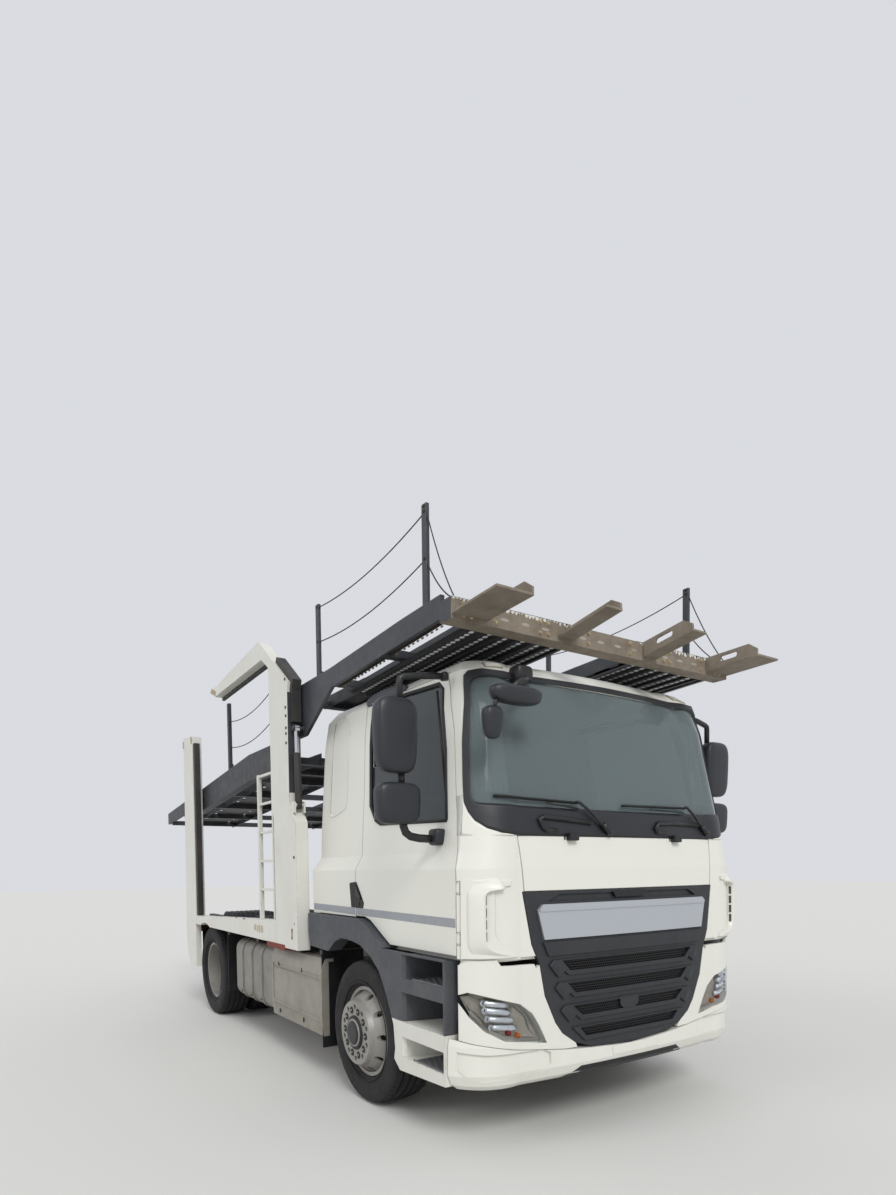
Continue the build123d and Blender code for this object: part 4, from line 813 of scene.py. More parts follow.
def make_deflectors():
    """The raised air deflector on each corner panel: steep wall inside, easing down before the door seam."""
    shape = Shape()
    rows = []
    for z, inner, proud, outer_proud in DEFLECTOR:
        row = [on_front(inner, z, -3.0)]
        for k in range(DEFLECTOR_STEPS + 1):
            share = k / DEFLECTOR_STEPS
            x = inner + (DEFLECTOR_EDGE - inner) * share
            height = proud + (outer_proud - proud) * share ** 1.6
            rim = min(1.0, 0.80 + share * 5, (1.0 - share) * 5)
            row.append(on_front(x, z, height * rim))
        row.append(on_front(DEFLECTOR_EDGE, z, -3.0))
        rows.append(row)
    shape.grid(rows)
    both_sides(shape, "air_deflector", "cab_paint", smooth=True)
    slope = Shape()
    rows = []
    for z, proud, reach in DEFLECTOR_SLOPE:
        row = []
        for k in range(SLOPE_STEPS + 1):
            share = k / SLOPE_STEPS
            x = SLOPE_FOOT + (reach - SLOPE_FOOT) * share
            height = proud * (1 - share * share * (3 - 2 * share)) + 0.4
            row.append(on_front(x, z, height if share < 1 else -1.0))
        rows.append(row)
    slope.grid(rows)
    both_sides(slope, "deflector_slope", "cab_paint", smooth=True)
    # Dark plates on the deflector's steep inner wall: painted shade where its slot openings are
    slots = Shape()
    for low, high in ((1176, 1226), (1240, 1290), (1304, 1354), (1368, 1418)):
        corners = [on_front(-1031.5, z, proud) for z, proud in ((low, 6), (low, 42), (high, 42), (high, 6))]
        slots.prism(corners, (1.5, 0, 0))
    both_sides(slots, "deflector_slots_painted_shade", "slot_dark")


def pod(shape, centre, half, power=4.0, taper=0.0, rows=14, sides=28):
    """A rounded housing: a superellipsoid whose lower end is narrower by a taper."""
    def bulge(value, exponent):
        return math.copysign(abs(value) ** (2 / exponent), value)
    points = []
    for row in range(1, rows):
        tilt = math.pi * row / rows - math.pi / 2
        high = bulge(math.sin(tilt), power)
        ring = bulge(math.cos(tilt), power)
        narrow = 1.0 - taper * (1.0 - high) / 2
        for c, s in circle(sides):
            points.append((centre[0] + half[0] * narrow * ring * bulge(c, power),
                           centre[1] + half[1] * narrow * ring * bulge(s, power),
                           centre[2] + half[2] * high))
    shape.rings(points, rows - 1, sides)


def make_mirrors():
    """Rounded mirror housings on bent tubes in place of the plain ones, with their glasses."""
    housings = Shape()
    pod(housings, (-1379, -864, 2286), (131, 59, 204), 4.2, 0.10)
    pod(housings, (-1370, -863, 1921), (137, 57, 114), 4.2, 0.08)
    pod(housings, (-1122, -882, 1742), (42, 47, 47), 5.0)
    tube_x = -1330
    arms = Shape()
    arms.tube([(tube_x, -835, 2440), (tube_x, -835, 2585), (tube_x + 4, -835, 2606),
               (tube_x + 24, -836, 2616), (-1200, -845, 2636), (-1040, -858, 2650)], 19, 12)
    arms.tube([(tube_x, -838, 2020), (tube_x, -838, 2110)], 20, 14)
    arms.tube([(tube_x + 2, -850, 1850), (tube_x + 4, -850, 1800), (tube_x + 18, -850, 1765),
               (tube_x + 48, -851, 1745), (-1230, -856, 1735), (-1100, -878, 1729)], 23, 12)
    arms.lathe((-1050, -858, 2628), (-1050, -858, 2672), ((0, 24), (0.8, 24), (1, 16)), 16)
    for side, body, flip in (("right", DOORS[0], False), ("left", DOORS[1], True)):
        one = housings.other_side() if flip else housings
        tubes = arms.other_side() if flip else arms
        one.make(f"mirror_housings_{side}", "mirror_plastic", body, smooth=True,
                 replaces=(f"mirrors_{side}",))
        tubes.make(f"mirror_arms_{side}", "black_trim", body, smooth=True)
    glasses = Shape()
    glasses.box((-1480, -1278), (-806.5, -803), (2116, 2458))
    glasses.box((-1480, -1260), (-806.5, -803), (1838, 2006))
    both_sides(glasses, "mirror_glass", "chrome", DOORS, bevel=10)


def make_front_mirror():
    """The two mirrors ahead of the windscreen on their arm, in place of the plain ones."""
    housings = Shape()
    pod(housings, (-885, -1290, 2474), (176, 54, 50), 3.0, 0.12)
    pod(housings, (-1042, -1290, 2316), (64, 44, 84), 3.4, 0.30)
    housings.make("front_mirror_housings", "mirror_plastic", smooth=True, replaces=("front_mirror",))
    arms = Shape()
    pod(arms, (-655, -1052, 2668), (62, 52, 48), 4.0)
    arms.tube([(-650, -1070, 2640), (-700, -1150, 2612), (-800, -1230, 2575), (-890, -1272, 2520)], 19, 12)
    arms.tube([(-1012, -1290, 2460), (-1030, -1290, 2380)], 12, 10)
    arms.make("front_mirror_arms", "black_trim", smooth=True)


# Headlamp: left and right end of each bright trough, as (X, Z)
LAMP_TROUGHS = (((1045, 841), (922, 820)), ((1039, 800), (905, 778)), ((1027, 753), (887, 735)),
                ((1009, 706), (866, 692)))
LAMP_STEPS = 6
LAMP_BACK = ((1128, 872), (1090, 884), (975, 858), (868, 812), (788, 745), (735, 672), (702, 612), (930, 652),
             (1030, 704), (1090, 772))


def make_headlamps():
    """Four bright troughs with their rings, a taupe back, and two small coloured lenses."""
    troughs = Shape()
    rings = Shape()
    for (x0, z0), (x1, z1) in LAMP_TROUGHS:
        path = [(-x, front_y(x, z0) + 26, z) for x, z in finer(((x0, z0), (x1, z1)), LAMP_STEPS)]
        troughs.tube(path, 17, 14)
        start = Vector((-x0 - 4, front_y(x0, z0) + 16, z0))
        rings.lathe(start, start + Vector((3, -9, 0)), ((0, 19), (0.5, 20), (1, 15)), 20)
    both_sides(troughs, "lamp_troughs", "lamp_bright", smooth=True)
    both_sides(rings, "lamp_rings", "chrome")
    bores = Shape()
    for (x0, z0), _ in LAMP_TROUGHS:
        start = Vector((-x0 - 2, front_y(x0, z0) + 8, z0))
        bores.lathe(start, start + Vector((0.6, -2, 0)), ((0, 9), (1, 8)), 16)
    both_sides(bores, "lamp_bores", "seal")
    back = Shape()
    back.prism([(-x, front_y(x, z) + 34, z) for x, z in LAMP_BACK], (0, 3, 0))
    both_sides(back, "lamp_back_plate", "lamp_back")
    for name, finish, x, z in (("lamp_orange", "orange_lens", 846, 647), ("lamp_red", "red_lens", 909, 667)):
        dot = Shape()
        y = front_y(x, z) + 12
        dot.lathe((-x, y + 40, z), (-x, y, z), ((0, 15), (0.8, 15), (1, 10)), 18)
        both_sides(dot, name, finish, smooth=True)


# A wing at the end of a grille's lip, from the lip's upper end, as (X, Z)
WING_OUTLINE = ((-89, 8), (-58, 39), (5, 14), (27, -26), (-27, -63))


def make_grille_wings():
    """The spread ends of the grille's lips."""
    shape = Shape()
    for z, top, _, _ in STRIPS[:3]:
        outline = [(-top + x, z + up) for x, up in WING_OUTLINE]
        points = [on_front(x, high, proud) for proud in (13, -6) for x, high in outline]
        points.append(on_front(-top - 28, z - 6, 20))
        count = len(outline)
        faces = [(k, (k + 1) % count, 2 * count) for k in range(count)]
        faces += [(k, k + count, (k + 1) % count + count, (k + 1) % count) for k in range(count)]
        shape.add(points, faces)
    shape.mirrored().make("grille_wings", "grille_plastic", bevel=3)


BUMPER_Y = -1306
BUMPER_HALF_W = 850
BUMPER_BOW = 44
# Bumper: how far its face is set in at each height
BUMPER_INSET = ((356, 60), (385, 22), (440, 0), (600, 4), (700, 26))
# The bumper's mouth: half width, height and how proud, from its lower edge up
BUMPER_MOUTH = ((526, 358, 0.8), (470, 388, 1.2), (430, 410, 1.2), (420, 419, 1.2), (419, 420, -2))


def on_bumper(x, z, proud):
    """A point of the bumper's face, moved out towards the front."""
    inset = 0.0
    for (z0, in0), (z1, in1) in zip(BUMPER_INSET, BUMPER_INSET[1:]):
        if z0 <= z <= z1:
            inset = in0 + (in1 - in0) * (z - z0) / (z1 - z0)
    return Vector((x, BUMPER_Y + BUMPER_BOW * (x / BUMPER_HALF_W) ** 2 + inset - proud, z))


def make_bumper_trim():
    """The black mouth low in the bumper, following its arc, and the blank cover above it."""
    mouth = Shape()
    rows = []
    for k in range(41):
        share = k / 20 - 1
        rows.append([on_bumper(share * half, z, proud) for half, z, proud in BUMPER_MOUTH])
    mouth.grid(rows)
    mouth.make("bumper_mouth", "mesh_black")
    cover = Shape()
    low, high = finer(((-172, 446), (222, 446)), 8), finer(((-178, 502), (228, 502)), 8)
    front_skin(cover, low, high, 2, 2.2, on_bumper)
    for x0, x1 in ((-172, -178), (222, 228)):
        corners = ((x0, 446, 2.2), (x1, 502, 2.2), (x1, 502, -4), (x0, 446, -4))
        cover.add([on_bumper(*corner) for corner in corners], [(0, 1, 2, 3)])
    cover.make("blank_cover", "cab_paint")


def make_deck_undersides():
    """Black pressed tracks under the deck over the cab, with rows of pale ovals on them: painted light
    standing for the bright sky seen through holes.
    """
    plates = Shape()
    ovals = Shape()
    high, low = DECK_Z - 9, DECK_Z - 55

    def level(y):
        return high + (low - high) * (y + 1000) / 1428

    plates.prism(((302, -1000, high), (1020, -1000, high), (1020, 428, low), (302, 428, low)), (0, 0, -4))
    for x in (310, 402, 522, 642, 762, 882, 990):
        plates.prism(((x - 11, -1000, high - 3), (x + 11, -1000, high - 3), (x + 11, 428, low - 3),
                      (x - 11, 428, low - 3)), (0, 0, -14))
    # Pale ovals just under the solid plates: painted light in place of holes with sky showing through
    for row, x in enumerate((356, 462, 582, 702, 822, 936)):
        for number in range(31):
            y = -985 + number * 46 + (23 if row % 2 else 0)
            if y > 405:
                continue
            z = level(y) - 5
            ovals.prism([(x + 15 * c, y + 18 * s, z) for c, s in circle(10)], (0, 0, -1.5))
    rail = Shape()
    outline = ((-1000, 38), (426, 5), (426, -46), (309, -44), (-966, 6), (-1000, 6))
    rail.prism([(-1106.8, y, DECK_Z + up) for y, up in outline], (1.0, 0, 0))
    rail.mirrored().make("outer_rail_face", "rail_brown", "over_cab_deck")
    plates.mirrored().make("track_undersides", "track_black", "over_cab_deck")
    ovals.mirrored().make("track_holes_painted_light", "hole_pale", "over_cab_deck")


# Cab sides


WINDOW = ((-935, 1832), (-902, 2033), (-870, 2234), (-822, 2417), (-775, 2600), (-720, 2645), (-300, 2668),
          (100, 2655), (90, 2527), (80, 2400), (55, 2195), (30, 1990), (-60, 1885), (-130, 1858),
          (-530, 1845))


def make_window_seals():
    """A black rubber frame round each door window."""
    shape = Shape()
    path = [(-side_x(y, z) + 1, y, z) for y, z in WINDOW]
    path += path[:2]
    shape.tube(path, 11, 8)
    both_sides(shape, "window_seal", "seal", DOORS, smooth=True)
    rail = Shape()
    rail.tube([(-side_x(-905, 2000) + 6, -890, 1990), (-side_x(-600, 2300) + 8, -760, 2590)], 7, 8)
    both_sides(rail, "quarter_bar", "seal", DOORS, smooth=True)


STRIPE = (1294, 1245, 1311, 1265)
HANDLE = ((104, 1480), (-4, 1340), (10, 1304), (126, 1304), (126, 1480))
HANDLE_REAR = ((131, 1480), (206, 1474), (213, 1462), (190, 1306), (131, 1304))


def side_plate(shape, outline, proud, thick):
    """A flat plate on the cab's straight side, given in (Y, Z)."""
    points = [(-CAB_HALF_W - proud, y, z) for y, z in outline]
    shape.prism(points, (thick, 0, 0))


def make_side_trim():
    front_high, front_low, rear_high, rear_low = STRIPE

    def stripe(y0, y1):
        def height(y, front, rear):
            return front + (rear - front) * (y + 1100) / 1950
        return ((y0, height(y0, front_low, rear_low)), (y0, height(y0, front_high, rear_high)),
                (y1, height(y1, front_high, rear_high)), (y1, height(y1, front_low, rear_low)))

    door = Shape()
    side_plate(door, stripe(-1089, 122), 1.2, 2.4)
    both_sides(door, "door_stripe", "stripe_grey", DOORS)
    rear = Shape()
    side_plate(rear, stripe(132, 842), 1.2, 2.4)
    both_sides(rear, "rear_stripe", "stripe_grey")
    cup = Shape()
    side_plate(cup, HANDLE, 3, 6)
    both_sides(cup, "handle_cup", "seal", DOORS, bevel=2)
    lever = Shape()
    side_plate(lever, ((104, 1466), (30, 1378), (36, 1360), (108, 1392)), 14, 9)
    lever.lathe((-1153, 70, 1330), (-1158, 70, 1330), ((0, 12), (1, 11)), 16)
    both_sides(lever, "handle_lever", "black_trim", DOORS, bevel=3)
    rear_cup = Shape()
    side_plate(rear_cup, HANDLE_REAR, 2, 4)
    both_sides(rear_cup, "handle_hollow", "seal", bevel=2)


QUARTER_RIM = ((430, 2560), (415, 2300), (405, 2080), (412, 2030), (440, 1998), (560, 1968), (660, 1952),
               (705, 1966), (720, 2010), (722, 2300), (725, 2600), (718, 2650), (690, 2672))


def make_visors():
    """The dark visor over the rear part of each door window, and a darker tube round the quarter recess:
    painted shade along its rim.
    """
    shape = Shape()
    pod(shape, (-968, -30, 2716), (48, 268, 46), 2.6)
    both_sides(shape, "visor", "arch_plastic", DOORS, smooth=True)
    # The darker tube round the quarter recess is painted shade along its rim
    rim = Shape()
    path = [(-side_x(y, z) + 3, y, z) for y, z in QUARTER_RIM]
    rim.tube(path, 6, 8)
    both_sides(rim, "quarter_rim_painted_shade", "cab_shade", smooth=True)


# Curtains, seats and inside


CURTAIN_LOW = 1980
CURTAIN_HIGH = 2560
CURTAIN_OUTER_X = 968
CURTAIN_WIDTH = 168
CURTAIN_FOLDS = 6
FOLD_DEPTH = 15


def make_curtains():
    """Folded curtains behind the windscreen, beside its pillars."""
    for name, sign in (("curtain_right", -1), ("curtain_left", 1)):
        shape = Shape()
        columns, rows = 48, 10
        points = []
        for row in range(rows + 1):
            z = CURTAIN_LOW + (CURTAIN_HIGH - CURTAIN_LOW) * row / rows
            for column in range(columns + 1):
                share = column / columns
                x = CURTAIN_OUTER_X - CURTAIN_WIDTH * share
                wave = math.sin(share * math.tau * CURTAIN_FOLDS + 0.4 * row / rows)
                y = front_y(x, z) + 66 + FOLD_DEPTH * wave
                points.append((sign * x, y, z))
        faces = []
        for row in range(rows):
            for column in range(columns):
                a = row * (columns + 1) + column
                b = a + columns + 1
                faces.append((a, a + 1, b + 1, b) if sign > 0 else (a, b, b + 1, a + 1))
        shape.add(points, faces)
        piece = shape.make(name, "curtain", smooth=True)


def cushion(low, high, crown):
    """A crowned cushion between two corners, drawn in along the middle of its sides."""
    shape = Shape()
    columns = 8
    lows, highs = Vector(low), Vector(high)
    size = highs - lows
    points = []
    index = {}
    for i in range(columns + 1):
        for j in range(columns + 1):
            for k in range(columns + 1):
                if 0 < i < columns and 0 < j < columns and 0 < k < columns:
                    continue
                share = Vector((i, j, k)) / columns
                swell = Vector((0, 0, 0))
                for axis in range(3):
                    others = [share[o] for o in range(3) if o != axis]
                    dome = math.prod(math.sin(math.pi * o) ** 0.5 if 0 < o < 1 else 0.0 for o in others)
                    direction = -1 if share[axis] == 0 else (1 if share[axis] == 1 else 0)
                    swell[axis] = direction * (dome - 1.0) * crown
                    if share[axis] in (0, 1) and abs(others[0] - 0.5) < 0.01 and axis != 2:
                        swell[axis] -= direction * crown * 0.15
                index[(i, j, k)] = len(points)
                points.append(lows + Vector((share[a] * size[a] for a in range(3))) + swell)
    faces = []
    for axis in range(3):
        u, w = [o for o in range(3) if o != axis]
        for end in (0, columns):
            for i in range(columns):
                for j in range(columns):
                    corners = []
                    for di, dj in ((0, 0), (1, 0), (1, 1), (0, 1)):
                        key = [0, 0, 0]
                        key[axis] = end
                        key[u] = i + di
                        key[w] = j + dj
                        corners.append(index[tuple(key)])
                    flip = (end == 0) != (axis == 1)
                    faces.append(tuple(reversed(corners)) if flip else tuple(corners))
    shape.add(points, faces)
    return shape


def make_seats():
    """Two seats and the bunk mattress in place of the plain solids."""
    first = True
    for side, x in (("right", -620), ("left", 620)):
        for part, low, high, crown in (
            ("base", (x - 220, -230, 1125), (x + 220, 230, 1380), 6),
            ("seat", (x - 238, -248, 1385), (x + 238, 200, 1558), 26),
            ("back", (x - 228, 186, 1500), (x + 228, 298, 2080), 22),
            ("headrest", (x - 140, 190, 2095), (x + 140, 296, 2245), 20),
        ):
            piece = cushion(low, high, crown).make(
                f"{part}_{side}", "cloth", smooth=True, replaces=("cab_seats",) if first else ())
            first = False
            smooth = piece.modifiers.new("smooth", "SUBSURF")
            smooth.levels = 1
            smooth.render_levels = 1
    mattress = cushion((-1016, 350, 1500), (1016, 736, 1636), 18).make("mattress", "curtain", smooth=True)
    box = Shape()
    box.box((-1012, 1012), (352, 734), (1124, 1496))
    box.make("bunk_box", "grille_plastic", bevel=8)


# Steps and lower sides


STEP_TOPS = (917, 442)


def studs(shape, x, y, z, pitch, radius, height):
    """Rows of round grip studs on a level tread."""
    for i in range(int((x[1] - x[0]) / pitch) + 1):
        for j in range(int((y[1] - y[0]) / pitch) + 1):
            cx = x[0] + i * pitch + (pitch / 2 if j % 2 else 0)
            cy = y[0] + j * pitch
            if cx > x[1]:
                continue
            profile = ((0, radius), (0.6, radius), (1, radius * 0.55))
            shape.lathe((cx, cy, z), (cx, cy, z + height), profile, 8)


def make_step_treads():
    treads = Shape()
    for z in STEP_TOPS:
        studs(treads, (-1168, -925), (-1010, -715), z, 40, 10, 5)
    treads.mirrored().make("step_studs", "step_alloy")
    plates = Shape()
    for z in STEP_TOPS:
        plates.box((-1182, -905), (-1030, -702), (z, z + 1.2))
    plates.mirrored().make("step_plates", "tread_grey")
    edges = Shape()
    for z in STEP_TOPS:
        edges.prism(((-1196, -1034, z), (-1196, -700, z), (-1188, -700, z + 3), (-1188, -1034, z + 3)),
                    (0, 0, 6))
    edges.mirrored().make("step_edges", "step_alloy", bevel=2)


def make_tank_trim():
    bands = Shape()
    caps = Shape()
    for share in (0.27, 0.54, 0.81):
        y = 1700 + share * 1035
        bands.box((-1200, -1196), (y - 20, y + 20), (420, 800))
        caps.lathe((-1199, y, 400), (-1207, y, 400), ((0, 11), (1, 9)), 6)
    bands.mirrored().make("tank_bands", "tank_alloy", bevel=2)
    caps.lathe((-900, 1780, 903), (-900, 1780, 935), ((0, 56), (0.7, 56), (1, 48)), 24)
    caps.mirrored().make("tank_caps", "black_trim", bevel=2)
    slots = Shape()
    folds = Shape()
    for y, z in ((1516, 776), (1005, 779), (1506, 376), (985, 388)):
        slots.box((-1203, -1196), (y - 7, y + 7), (z - 17, z + 17))
    for z in (742, 424):
        folds.tube([(-1199, 650, z), (-1201, 1150, z), (-1199, 1660, z)], 4, 8)
    slots.mirrored().make("cover_slots", "seal", bevel=2)
    folds.mirrored().make("cover_folds", "cover_silver", smooth=True)


def make_beam_trim():
    """The red-brown block under the beam, the worn patch beside it and rust scars at the post's foot."""
    red = Shape()
    red.box((-1273, -1182), (1165, 1587), (923, 968))
    red.mirrored().make("under_beam_block", "marker_red", bevel=3)
    patch = Shape()
    for y0, y1, z0, z1 in ((1690, 1745, 1030, 1088), (1762, 1800, 1022, 1092),
                           (1814, 1850, 1028, 1084), (1868, 1925, 1036, 1090)):
        patch.box((-1271.5, -1269), (y0, y1), (z0, z1))
    patch.mirrored().make("worn_patch", "worn_taupe", bevel=2)
    scars = Shape()
    for y, z, wide, tall in ((1006, 1092, 12, 16), (1008, 1062, 9, 12), (1009, 1036, 13, 12),
                             (955, 1150, 5, 9), (2210, 1120, 30, 5), (2450, 1122, 18, 6),
                             (2640, 1120, 24, 4)):
        scars.box((-1271.5, -1269), (y - wide, y + wide), (z - tall, z + tall))
    scars.mirrored().make("rust_scars", "marker_red", bevel=2)
    flaps = Shape()
    flaps.box((-1196, -850), (618, 624), (240, 962))
    flaps.box((-1196, -1120), (600, 650), (940, 972))
    flaps.mirrored().make("front_mud_flaps", "black_trim", bevel=4)


# Posts


# Bolt heads on the front post, as (Y, Z)
POST_BOLTS = ((1046, 3035), (1043, 2820), (1040, 2755), (1041, 2663), (1041, 2620), (1043, 2548), (930, 1662))


def make_post_bolts():
    heads = Shape()
    for y, z in POST_BOLTS:
        heads.lathe((-POST_OUT + 2, y, z), (-POST_OUT - 6, y, z), ((0, 12), (0.6, 12), (1, 9)), 6)
    heads.mirrored().make("post_bolt_heads", "iron")
    # A dark strip across the front of the upper post: painted shade inside the post's open channel
    channel_shade = Shape()
    channel_shade.box((-POST_OUT - 0.8, -1172), (1000.5, 1003.5), (2120, 2930))
    channel_shade.mirrored().make("post_channel_painted_shade", "deck_iron")
    plates = Shape()
    plates.prism(((-POST_OUT - 2, 2960, 3305), (-POST_OUT - 2, 3142, 3372), (-POST_OUT - 2, 3080, 3402),
                  (-POST_OUT - 2, 2930, 3340)), (6, 0, 0))
    for y in (3946, 4310):
        outline = ((y - 4, 2985), (y + 56, 2985), (y + 52, 3066), (y + 4, 3060))
        plates.prism([(-POST_OUT - 2, across, z) for across, z in outline], (5, 0, 0))
    plates.mirrored().make("post_end_plates", "plate_rust", bevel=1.5)


# Decks


def make_deck_ovals():
    """Pale ovals and bolts on the front and inner faces of the deck over the cab, and its peeling paint."""
    ovals = Shape()
    bolts = Shape()
    for row in range(2):
        for number in range(26):
            y = -960 + number * 52 + (26 if row else 0)
            z = DECK_Z + 36 - (y + 1004) * 0.037 - (16 if row else 0)
            ovals.prism([(-1077.5, y + 15 * c, z - 2 + 5.5 * s) for c, s in circle(12)], (-2.5, 0, 0))
    for number in range(16):
        x = -1110 + number * 148
        ovals.prism([(x + 30 * c, -1111, DECK_Z + 30 + 9 * s) for c, s in circle(14)], (0, 3, 0))
    for x in (-1090, -1040, -880, -560, -500, -180, 180, 500, 560, 880, 1040, 1090):
        for z in (DECK_Z + 5, DECK_Z + 66):
            bolts.lathe((x, -1108, z), (x, -1122, z), ((0, 15), (0.3, 15), (0.35, 11), (1, 9)), 6)
    ovals.make("deck_ovals", "lamp_back", "over_cab_deck")
    bolts.make("deck_bolts", "plate_rust", "over_cab_deck")
    flakes = Shape()
    random.seed(7)
    for number in range(90):
        x = -1165 + number * 26
        if -230 < x < 240:
            continue
        tall = random.uniform(4, 22)
        wide = random.uniform(16, 34)
        top = DECK_Z + 91
        shift = random.uniform(-8, 8)
        flakes.prism([(x + shift, -1112, top - tall), (x + shift + wide * 0.4, -1112, top - tall - 6),
                      (x + shift + wide, -1112, top - tall * 0.4), (x + shift + wide, -1112, top),
                      (x + shift, -1112, top)], (0, 3, 0))
    low, high = DECK_Z + 90, DECK_Z + 93
    for x0, x1 in ((-1168, -240), (240, 1168)):
        flakes.prism(((x0, -1112, low), (x1, -1112, low), (x1, -1060, high), (x0, -1060, high)), (0, 0, 2))
    flakes.make("peeling_paint", "body_white", "over_cab_deck")


def make_head_beam_skin():
    """The bare brown face of the front cross-member, laid over the slate paint."""
    skin = Shape()
    skin.box((-1171, 1171), (-1110.8, -1108), (DECK_Z - 22, DECK_Z + 88))
    skin.box((-1171, 1171), (-1110.8, -1004), (DECK_Z - 23.2, DECK_Z - 21.8))
    skin.make("head_beam_face", "fork_beige", "over_cab_deck")
    rails = Shape()
    rails.prism(((-1078.5, -1002, DECK_Z + 27), (-1078.5, 418, DECK_Z - 26), (-1078.5, 418, DECK_Z),
                 (-1078.5, -1002, DECK_Z + 53)), (0.8, 0, 0))
    rails.mirrored().make("inner_rail_face", "fork_beige", "over_cab_deck")


# Wires of the deck over the cab: sag, start and end
WIRES = (
    (60, (-1128, 712, 3500), (-1128, -800, 3560)),
    (60, (-1128, 712, 3250), (-1128, -800, 3300)),
    (40, (-1128, -800, 3590), (-1150, -1104, 3000)),
    (40, (-1128, -800, 3300), (-1150, -1104, 2985)),
)


WIRE_STEPS = 16


def sagged(start, end, sag):
    """Points of a wire that hangs between two ends."""
    start, end = Vector(start), Vector(end)
    shares = [k / WIRE_STEPS for k in range(WIRE_STEPS + 1)]
    return [start.lerp(end, share) - Vector((0, 0, sag * 4 * share * (1 - share))) for share in shares]


def make_wires():
    for number, (sag, start, end) in enumerate(WIRES):
        wire = Shape()
        wire.tube(sagged(start, end, sag), 4, 6)
        wire.mirrored().make(f"guard_wire_{number + 1}", "iron", "over_cab_deck", smooth=True)
    eyes = Shape()
    for y, z in ((712, 3500), (712, 3250), (-800, 3560), (-800, 3300), (-800, 3590)):
        eyes.lathe((-1110, y, z), (-1144, y, z), ((0, 9), (1, 9)), 8)
    eyes.mirrored().make("wire_eyes", "iron", "over_cab_deck")
    for number, z in enumerate((2820, 3080)):
        wire = Shape()
        wire.tube(sagged((-1115, 3035, z), (-1128, 1380, z + 150), 110), 4, 6)
        wire.mirrored().make(f"rear_wire_{number + 1}", "iron", "rear_upper_deck", smooth=True)


# A rib over a hump of the lower deck: its flat top, its front and its rear slope, as (Y, Z)
HUMP_RIBS = (
    ((130, 1069), (130, 1078), (550, 1078), (550, 1069)),
    ((6, 1005), (2, 1012), (122, 1078), (126, 1070)),
    ((554, 1070), (558, 1078), (692, 1014), (688, 1005)),
)


def make_rear_deck_ribs():
    """Pressed ribs on the tracks of the sloping deck and on the lower deck's humps."""
    ribs = Shape()
    for number in range(64):
        y = 2340 + number * 53
        z = DECK_Z - 412 - 0.0773 * (y - 2298)
        for x in (330, 545, 655, 845):
            ribs.box((x - 22, x + 22), (y - 9, y + 9), (z - 1, z + 6))
    ribs.mirrored().make("rear_deck_ribs", "track_black", "rear_upper_deck", bevel=1.5)
    humps = Shape()
    for y in (1500, 2600, WHEELBASE + 100):
        for number in range(8):
            x = 425 + number * 57
            for outline in HUMP_RIBS:
                humps.prism([(x, y + along, z) for along, z in outline], (30, 0, 0))
    humps.mirrored().make("hump_ribs", "track_black", bevel=2)


def make_tail():
    for name, finish, middles in (("tail_red", "red_lens", (850, 920)),
                                  ("tail_orange", "orange_lens", (990, 1060))):
        lenses = Shape()
        for x in middles:
            lenses.box((-x - 30, -x + 30), (4759, 4768), (840, 920))
        lenses.mirrored().make(name, finish, bevel=4)
    plate = Shape()
    plate.box((-260, 260), (4701, 4706), (700, 810))
    plate.make("blank_plate", "lamp_clear", bevel=3)


# Camera, floor and light


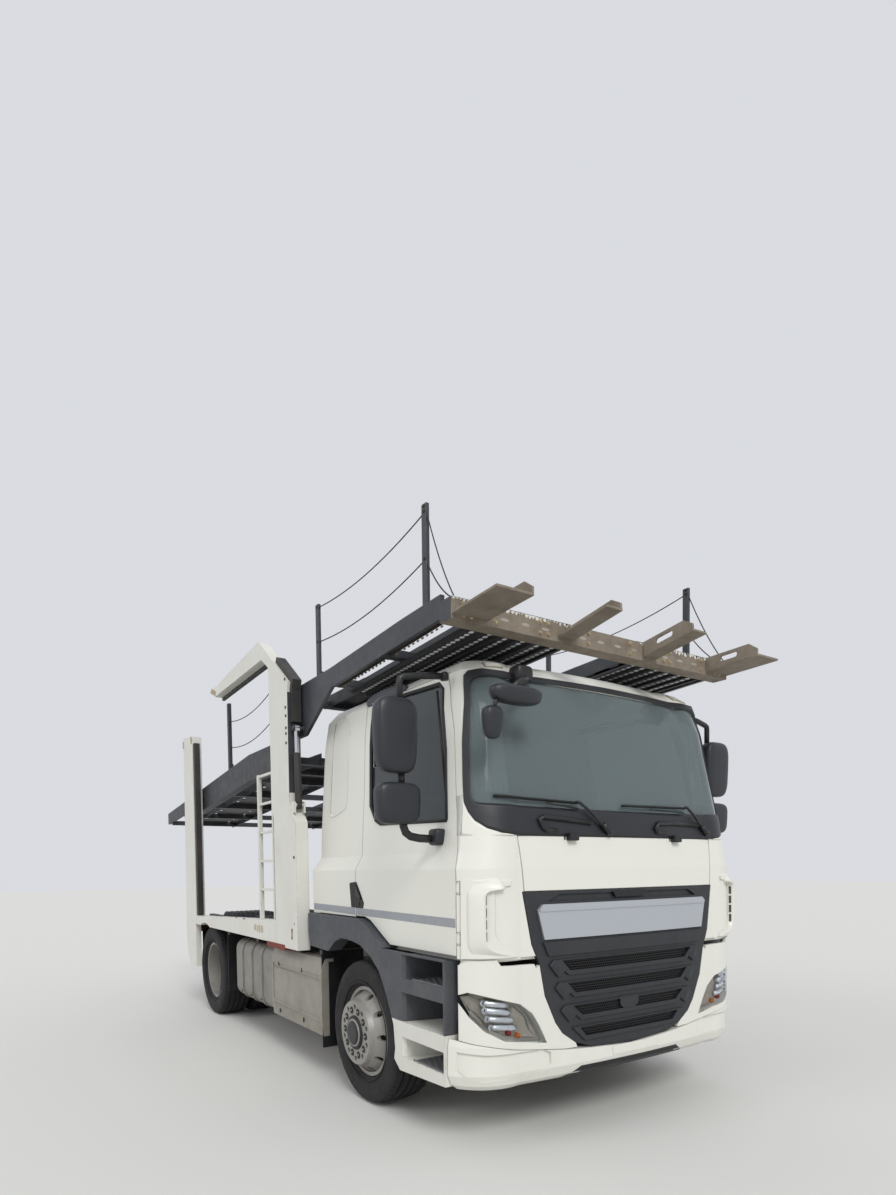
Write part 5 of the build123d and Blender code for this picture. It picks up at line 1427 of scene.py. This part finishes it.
def make_camera():
    data = bpy.data.cameras.new("camera")
    data.sensor_width = SENSOR_MM
    data.lens = FOCAL_PX / PHOTO_SIZE[1] * SENSOR_MM
    data.shift_y = HORIZON_DROP_PX / PHOTO_SIZE[1]
    camera = bpy.data.objects.new("camera", data)
    yaw, pitch, roll = (math.radians(a) for a in (CAMERA_YAW, CAMERA_PITCH, CAMERA_ROLL))
    forward = Vector((math.sin(yaw) * math.cos(pitch), math.cos(yaw) * math.cos(pitch), math.sin(pitch)))
    right = Vector((math.cos(yaw), -math.sin(yaw), 0.0))
    up = right.cross(forward)
    tilted_right = math.cos(roll) * right + math.sin(roll) * up
    tilted_up = tilted_right.cross(forward)
    basis = Matrix((tilted_right, tilted_up, -forward)).transposed().to_4x4()
    camera.matrix_world = Matrix.Translation(at(*EYE)) @ basis
    bpy.context.scene.collection.objects.link(camera)
    bpy.context.scene.camera = camera


def make_floor():
    bpy.ops.mesh.primitive_plane_add(size=120, location=(0, 0, 0))
    floor = bpy.context.object
    floor.name = "floor"
    floor.data.materials.append(shader("floor_pale", rgb(214, 213, 208), 0.9))


def make_light():
    world = bpy.data.worlds.new("world")
    world.use_nodes = True
    bpy.context.scene.world = world
    tree = world.node_tree
    tree.nodes.clear()
    out = tree.nodes.new("ShaderNodeOutputWorld")
    background = tree.nodes.new("ShaderNodeBackground")
    background.inputs["Color"].default_value = (0.93, 0.95, 1.0, 1.0)
    background.inputs["Strength"].default_value = 0.75
    tree.links.new(background.outputs["Background"], out.inputs["Surface"])
    for name, energy, rotation in (("sun_key", 1.4, (50, 0, -16)), ("sun_fill", 0.4, (60, 0, -100))):
        light = bpy.data.lights.new(name, "SUN")
        light.energy = energy
        light.angle = 0.35
        lamp = bpy.data.objects.new(name, light)
        lamp.rotation_euler = [math.radians(a) for a in rotation]
        bpy.context.scene.collection.objects.link(lamp)
    bpy.context.scene.view_settings.view_transform = "Standard"


make_camera()
make_floor()
make_light()
make_tyres()
make_wheel_trim()
make_grille_mesh()
make_headlamps()
make_grille_wings()
make_bumper_trim()
make_screen_frame()
make_wipers()
make_scuttle_grips()
make_hood_hinges()
make_sun_blades()
make_marker_lamps()
make_deflectors()
make_mirrors()
make_front_mirror()
make_deck_undersides()
make_window_seals()
make_side_trim()
make_visors()
make_curtains()
make_seats()
make_step_treads()
make_tank_trim()
make_beam_trim()
make_post_bolts()
make_deck_ovals()
make_head_beam_skin()
make_wires()
make_rear_deck_ribs()
make_tail()
